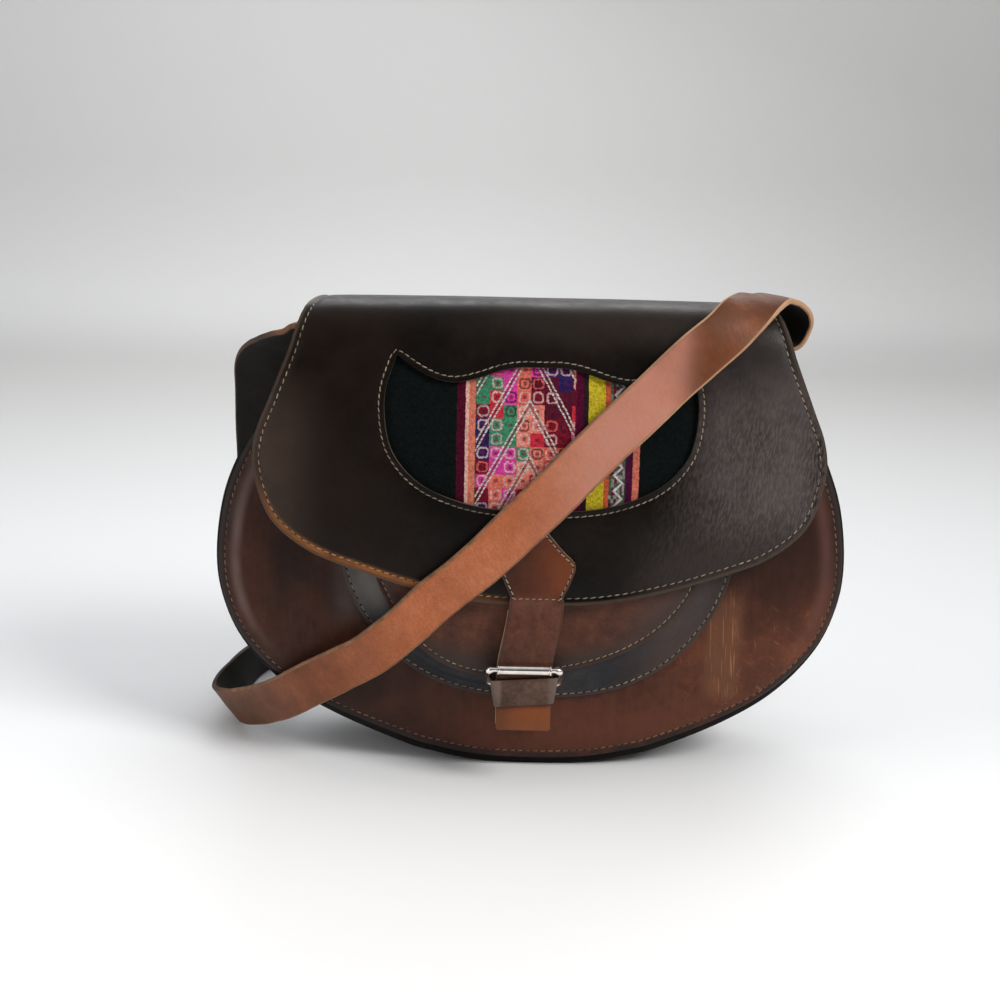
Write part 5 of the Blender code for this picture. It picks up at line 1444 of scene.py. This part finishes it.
def make_closure():
    line = [tuple(p) for p in spline(PATCH_LINE[: PATCH_CORNER + 1], 4)[:-1]]
    line += [tuple(p) for p in spline(PATCH_LINE[PATCH_CORNER:], 4)]
    line += [(CLOSURE_HALF, z) for z in np.linspace(PATCH_WAIST, CLOSURE_TIP + TIP_CORNER, 28)[1:]]
    line.append((CLOSURE_HALF - 0.3 * TIP_CORNER, CLOSURE_TIP + 0.5 * TIP_CORNER))
    line.append((CLOSURE_HALF - TIP_CORNER, CLOSURE_TIP))
    net = Net()
    rows = []
    for half, z in line:
        edge = np.minimum(half * (1 - np.abs(COLUMNS)), min(abs(z - CLOSURE_TIP), abs(PATCH_APEX - z) * 0.6))
        pillow = CLOSURE_PILLOW * smooth(edge / CLOSURE_PILLOW_RISE)
        lift = TIP_LIFT * smooth((CLOSURE_TIP + TIP_BEND - z) / TIP_BEND)
        x, y = closure_x(z) + COLUMNS * max(half, LEAST_HALF), closure_y(z) - CLOSURE / 2 - pillow - lift
        rows.append(net.row(xyz(x, y, z), np.stack([edge, edge * 0 + z], 1)))
    net.bands(rows[::-1])
    materials = [CLOSURE_SKIN, LIGHT_EDGE, FLESH]
    obj = hide("closure_leather", net, CLOSURE, materials, bevel=THIN_ROUND)
    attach(obj, "flap")
    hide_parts("closure_strap")


def make_patch_seam():
    """Stitches along the shield's edge and across its waist."""
    inner = offset_line(resample(spline(PATCH_LINE, 5), 60), -PATCH_STITCH)[2:-2]
    inner = inner[inner[:, 0] > 0]
    inner[:, 1] = np.maximum(inner[:, 1], PATCH_WAIST + PATCH_STITCH)
    waist = np.linspace(inner[-1], (0, inner[-1][1]), 8)[1:]
    line = mirrored(np.vstack([(0, inner[0][1]), inner, waist]))
    path = np.array([(x + closure_x(z), closure_y(z) - CLOSURE / 2 - THREAD_SINK, z) for x, z in line])
    stitches("patch_seam", path, (0, -1.0, 0.1), "flap", THREADS, 10, pitch=2.7 * MM, closed=True)


def make_closure_lining():
    net = Net()
    rows = []
    for z in np.linspace(FLAP_BOTTOM - CLOSURE_LINING_TOP, CLOSURE_TIP + TIP_CORNER, 26):
        x = closure_x(z) - CLOSURE_LINING_SHIFT + COLUMNS * (CLOSURE_HALF - CLOSURE_LINING_INSET)
        rows.append(net.row(xyz(x, closure_y(z) + CLOSURE / 2 + GAP, z), (0.002, z)))
    net.bands(rows[::-1])
    materials = [FLESH, LIGHT_EDGE, LINING_SKIN]
    obj = hide("closure_lining_leather", net, CLOSURE_LINING, materials, 0.0, THIN_ROUND)
    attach(obj, "flap")
    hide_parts("closure_strap_lining")


def make_chape():
    bottom, join = BUCKLE_PIVOT - CHAPE_LENGTH, BUCKLE_PIVOT - CHAPE_NECK

    def leg(z, layer):
        return np.array((middle_y(front_y, z) - GAP - CHAPE / 2 - layer * (CHAPE + GAP), z))

    path = [leg(z, 0) for z in np.linspace(bottom, join, 5)]
    path += arc((PIVOT_Y, BUCKLE_PIVOT), CHAPE_RADIUS, *CHAPE_TURN, 24)
    path += [leg(z, 1) for z in np.linspace(join, bottom, 5)]
    net = Net()
    net.bands([net.row([(x - BUCKLE_SHIFT, y, z) for y, z in path]) for x in np.linspace(-CHAPE_HALF, CHAPE_HALF, 12)])
    obj = hide("chape_leather", net, CHAPE, [KEEPER_SKIN, DARK_EDGE], 0.0, THIN_ROUND)
    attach(obj, "bag")
    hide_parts("buckle_chape")


def make_keeper():
    back = KEEPER_BACK - KEEPER / 2
    front = CLOSURE_Y - CLOSURE / 2 - KEEPER_EASE - KEEPER / 2 - KEEPER_STAND
    net = Net()
    rows = []
    for t in np.linspace(0, 1, 8):
        half = CLOSURE_HALF + KEEPER_EASE + KEEPER / 2 + mix(*KEEPER_TAPER, t)
        x, near, far = half - KEEPER_CORNER, back - KEEPER_CORNER, front + KEEPER_CORNER
        corners = rounded_corners(((x, near), (-x, near), (-x, far), (x, far)), KEEPER_CORNER, 6)
        corners.insert(3, [(v, front) for v in np.linspace(-x, x, 14)[1:-1]])
        loop = np.vstack(corners)
        bow = KEEPER_BOW * math.sin(math.pi * t) * (loop[:, 1] < back - KEEPER_FRONT)
        z = KEEPER_TOP - KEEPER_HEIGHT * t + KEEPER_SLOPE * loop[:, 0] / half
        rows.append(net.row(xyz(loop[:, 0] - BUCKLE_SHIFT, loop[:, 1] - bow, z)))
    net.bands(rows, closed=True)
    materials = [KEEPER_SKIN, DARK_EDGE, FLESH]
    obj = hide("keeper_leather", net, KEEPER, materials, 0.0, THIN_ROUND, flip=True)
    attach(obj, "bag")
    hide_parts("strap_keeper")


def make_buckle():
    pivot = np.array((-BUCKLE_SHIFT, PIVOT_Y, BUCKLE_PIVOT))
    rise = np.array((-BUCKLE_SHIFT, ROLLER_Y, BUCKLE_TOP)) - pivot
    length = np.linalg.norm(rise)
    side, top, steps = BUCKLE_HALF_LINE - WIRE_CORNER, length - WIRE_CORNER, 7
    corners = ((side, top), (-side, top), (-side, WIRE_CORNER), (side, WIRE_CORNER))
    loop = np.vstack(rounded_corners(corners, WIRE_CORNER, steps))
    path = pivot + loop[:, :1] * (1, 0, 0) + loop[:, 1:] * rise / length
    net = Net()
    rows = []
    for i, spot in enumerate(path):
        corner, step = divmod(i, steps + 1)
        radius = WIRE + (WIRE_SWELL * math.sin(math.pi * step / steps) if corner < 2 else 0)
        along = Vector(path[(i + 1) % len(path)] - path[i - 1]).normalized()
        across_wire = along.cross(Vector((0, 1, 0.01))).normalized()
        up = across_wire.cross(along)
        around = np.linspace(0, 2 * math.pi, 18, endpoint=False)
        rows.append(net.row([Vector(spot) + (across_wire * math.cos(t) + up * math.sin(t)) * radius for t in around]))
    net.bands(rows + rows[:1], closed=True)
    obj = piece("buckle_wire", net.mesh("buckle_wire"), [STEEL], 50)
    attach(obj, "buckle")
    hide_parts("buckle_frame")


def make_roller():
    """A steel tube with a raised lip near each end."""
    lip = ROLLER + ROLLER_LIP
    outside, inside, fall = (ROLLER_REACH - place for place in ROLLER_LIP_PLACES)
    right = [(ROLLER, 0), (ROLLER, fall), (lip, inside), (lip, outside), (ROLLER - ROLLER_CORNER, ROLLER_REACH),
             (ROLLER_BORE, ROLLER_REACH)]
    section = [(r, -x) for r, x in right[:0:-1]] + right + [(ROLLER_BORE, 0)]
    net = Net()
    around = np.linspace(0, 2 * math.pi, 40, endpoint=False)
    rows = [net.row([(x - BUCKLE_SHIFT, ROLLER_Y + math.cos(t) * r, BUCKLE_TOP + math.sin(t) * r) for r, x in section])
            for t in around]
    net.bands(rows + rows[:1], closed=True)
    obj = piece("roller_steel", net.mesh("roller_steel"), [STEEL], 35)
    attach(obj, "roller")
    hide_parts("buckle_roller")


make_closure()
make_patch_seam()
make_closure_lining()
make_chape()
make_keeper()
make_buckle()
make_roller()


# Shoulder strap
FACE, EDGE, BACK = 0, 1, 2
EDGE_TURNS = np.radians((30, 60, 85))
WAVE_RATE, RIPPLE_RATE, RIPPLE_ACROSS = 60, 160, 120


def strap_section():
    """Points (across, out, distance from the edge, kind) round the strap."""
    half, thick = STRAP_WIDTH / 2, STRAP / 2
    face = np.linspace(-half + STRAP_ROUND, half - STRAP_ROUND, 9)
    corner = [(half - STRAP_ROUND + STRAP_ROUND * math.sin(a), thick - STRAP_ROUND + STRAP_ROUND * math.cos(a))
              for a in EDGE_TURNS]
    right = [(v, w, 0.0, EDGE) for v, w in corner] + [(v, -w, 0.0, EDGE) for v, w in corner[::-1]]
    section = [(v, thick, half - abs(v), FACE) for v in face] + right
    section += [(v, -thick, half - abs(v), BACK) for v in face[::-1]]
    return section + [(-v, w, d, kind) for v, w, d, kind in right[::-1]]


def make_shoulder_strap():
    table = np.array(STRAP_STATIONS)
    middles = spline(table[:, :3] * MM, 9)
    edges = spline(table[:, 3:], 9)
    along = unit(np.gradient(middles, axis=0))
    upper = unit(edges - along * np.sum(edges * along, 1)[:, None])
    out = np.cross(upper, along)
    section = strap_section()
    kinds = [kind for *_, kind in section]
    half = STRAP_WIDTH / 2
    net = Net()
    rows = []
    for run, middle, a, o in zip(lengths_of(middles), middles, upper, out):
        spots = []
        for v, w, _, _ in section:
            ripple = STRAP_RIPPLE * noise.noise(Vector((run * RIPPLE_RATE, v * RIPPLE_ACROSS, 7)))
            wave = STRAP_EDGE_WAVE * noise.noise(Vector((run * WAVE_RATE, 11 if v > 0 else 29, 0))) * (v / half)
            spots.append(middle + a * (v + wave) + o * (w + ripple - STRAP_CUP * ((v / half) ** 2 - 0.4)))
        rows.append(net.row(spots, [(distance, run) for _, _, distance, _ in section]))
    net.bands(rows, closed=True)
    net.caps(rows)
    mesh = net.mesh("strap_leather")
    obj = piece("strap_leather", mesh, [STRAP_SKIN, STRAP_EDGE, STRAP_FLESH_IN_SHADE], 60)
    round_strap = [low if low == high else EDGE for low, high in zip(kinds, kinds[1:] + kinds[:1])]
    mesh.polygons.foreach_set("material_index", round_strap * (len(rows) - 1) + [EDGE, EDGE])
    if mesh.polygons[4].normal.dot(Vector(out[0])) < 0:
        mesh.flip_normals()
    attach(obj, "bag")
    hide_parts("shoulder_strap")


make_shoulder_strap()


# Table, wall, lights and camera
TABLE_FRONT, TABLE_BACK, TABLE_HALF = -1.6, 1.27, 3.0
COVE, WALL_TOP = 0.22, 2.4
TABLE_WHITE, TABLE_GREY, TABLE_FAR = (1.0, 1.0, 1.0), (0.80, 0.81, 0.825), (0.585, 0.585, 0.575)
TABLE_RIGHT, WALL_LEFT, WALL_RIGHT = (0.2, 0.2, 0.2), (0.83, 0.83, 0.83), (0.62, 0.62, 0.615)


def make_stage():
    """One pale sheet: a table that turns up softly into a wall behind it. Its tones carry painted light: the table
    lighter at the front, darker far back and to the right, and the wall lighter on the left than on the right.
    """
    f = Finish("pale_sheet")
    side, back, up = (f.axis(f.place, k) for k in range(3))
    # Painted light falloff over the sheet.
    table = f.mix(f.span(back, -0.15, 0.05), TABLE_WHITE, TABLE_GREY)
    table = f.mix(f.span(back, 0.1, 0.95), table, TABLE_FAR)
    table = f.mix(f.span(side, -0.3, 0.6, 0.0, 0.36), table, TABLE_RIGHT)
    wall = f.mix(f.span(side, -0.2, 0.9), WALL_LEFT, WALL_RIGHT)
    colour = f.mix(f.span(up + back * 0.6, 0.60, 0.90), table, wall)
    f.shade(Base_Color=colour, Roughness=0.6, Specular_IOR_Level=0.25)
    line = [(TABLE_FRONT, 0.0), *arc((TABLE_BACK, COVE), COVE, -90, 0, 12), (TABLE_BACK + COVE, WALL_TOP)]
    net = Net()
    net.bands([net.row([(x, y, z) for x in (-TABLE_HALF, TABLE_HALF)]) for y, z in line])
    piece("backdrop", net.mesh("backdrop"), [f.material])


def area_light(name, place, target, size, power, colour, size_y=None):
    data = bpy.data.lights.new(name, "AREA")
    data.energy, data.color, data.size = power, colour, size
    if size_y:
        data.shape, data.size_y = "RECTANGLE", size_y
    light = bpy.data.objects.new(name, data)
    light.location = place
    light.rotation_euler = (Vector(target) - Vector(place)).to_track_quat("-Z", "Y").to_euler()
    bpy.context.scene.collection.objects.link(light)


def make_room():
    """A dim room in front, a bright one above and behind, and a pale ground where there is no sheet."""
    world = bpy.data.worlds.new("room")
    bpy.context.scene.world = world
    world.use_nodes = True
    nodes = Nodes(world.node_tree)
    direction = nodes.node("TexCoord").outputs["Generated"]
    back, up = nodes.axis(direction, 1), nodes.axis(direction, 2)
    room = nodes.span(back + up, -0.75, 1.15, 0.07, 0.85)
    ground = nodes.span(up, 0.06, -0.10, 0.0, 0.72)
    background = world.node_tree.nodes["Background"]
    nodes.put(background.inputs["Color"], (0.97, 0.985, 1.0))
    nodes.put(background.inputs["Strength"], nodes.math("MAXIMUM", ground, room))


make_stage()
make_room()
area_light("key_right", (1.05, -0.75, 1.15), (0, 0, 0.1), 0.6, 21, (1.0, 0.985, 0.96))
area_light("window_behind", (0.25, 1.0, 1.0), (0, 0, 0.12), 1.5, 9, (0.98, 0.99, 1.0), size_y=0.6)
area_light("left_strip", (-0.95, -0.55, 0.35), (-0.1, 0, 0.08), 0.16, 2.0, (1.0, 0.95, 0.93), size_y=0.8)

lens = bpy.data.cameras.new("view")
lens.lens, lens.sensor_width = CAMERA_LENS, 36.0
lens.clip_start = 0.01
camera = bpy.data.objects.new("view", lens)
level = Matrix.Rotation(math.radians(90) - CAMERA_PITCH, 4, "X")
camera.matrix_world = Matrix.Translation(CAMERA_PLACE) @ level @ Matrix.Rotation(CAMERA_ROLL, 4, "Z")
bpy.context.scene.collection.objects.link(camera)
bpy.context.scene.camera = camera
bpy.context.scene.view_settings.view_transform = "Standard"
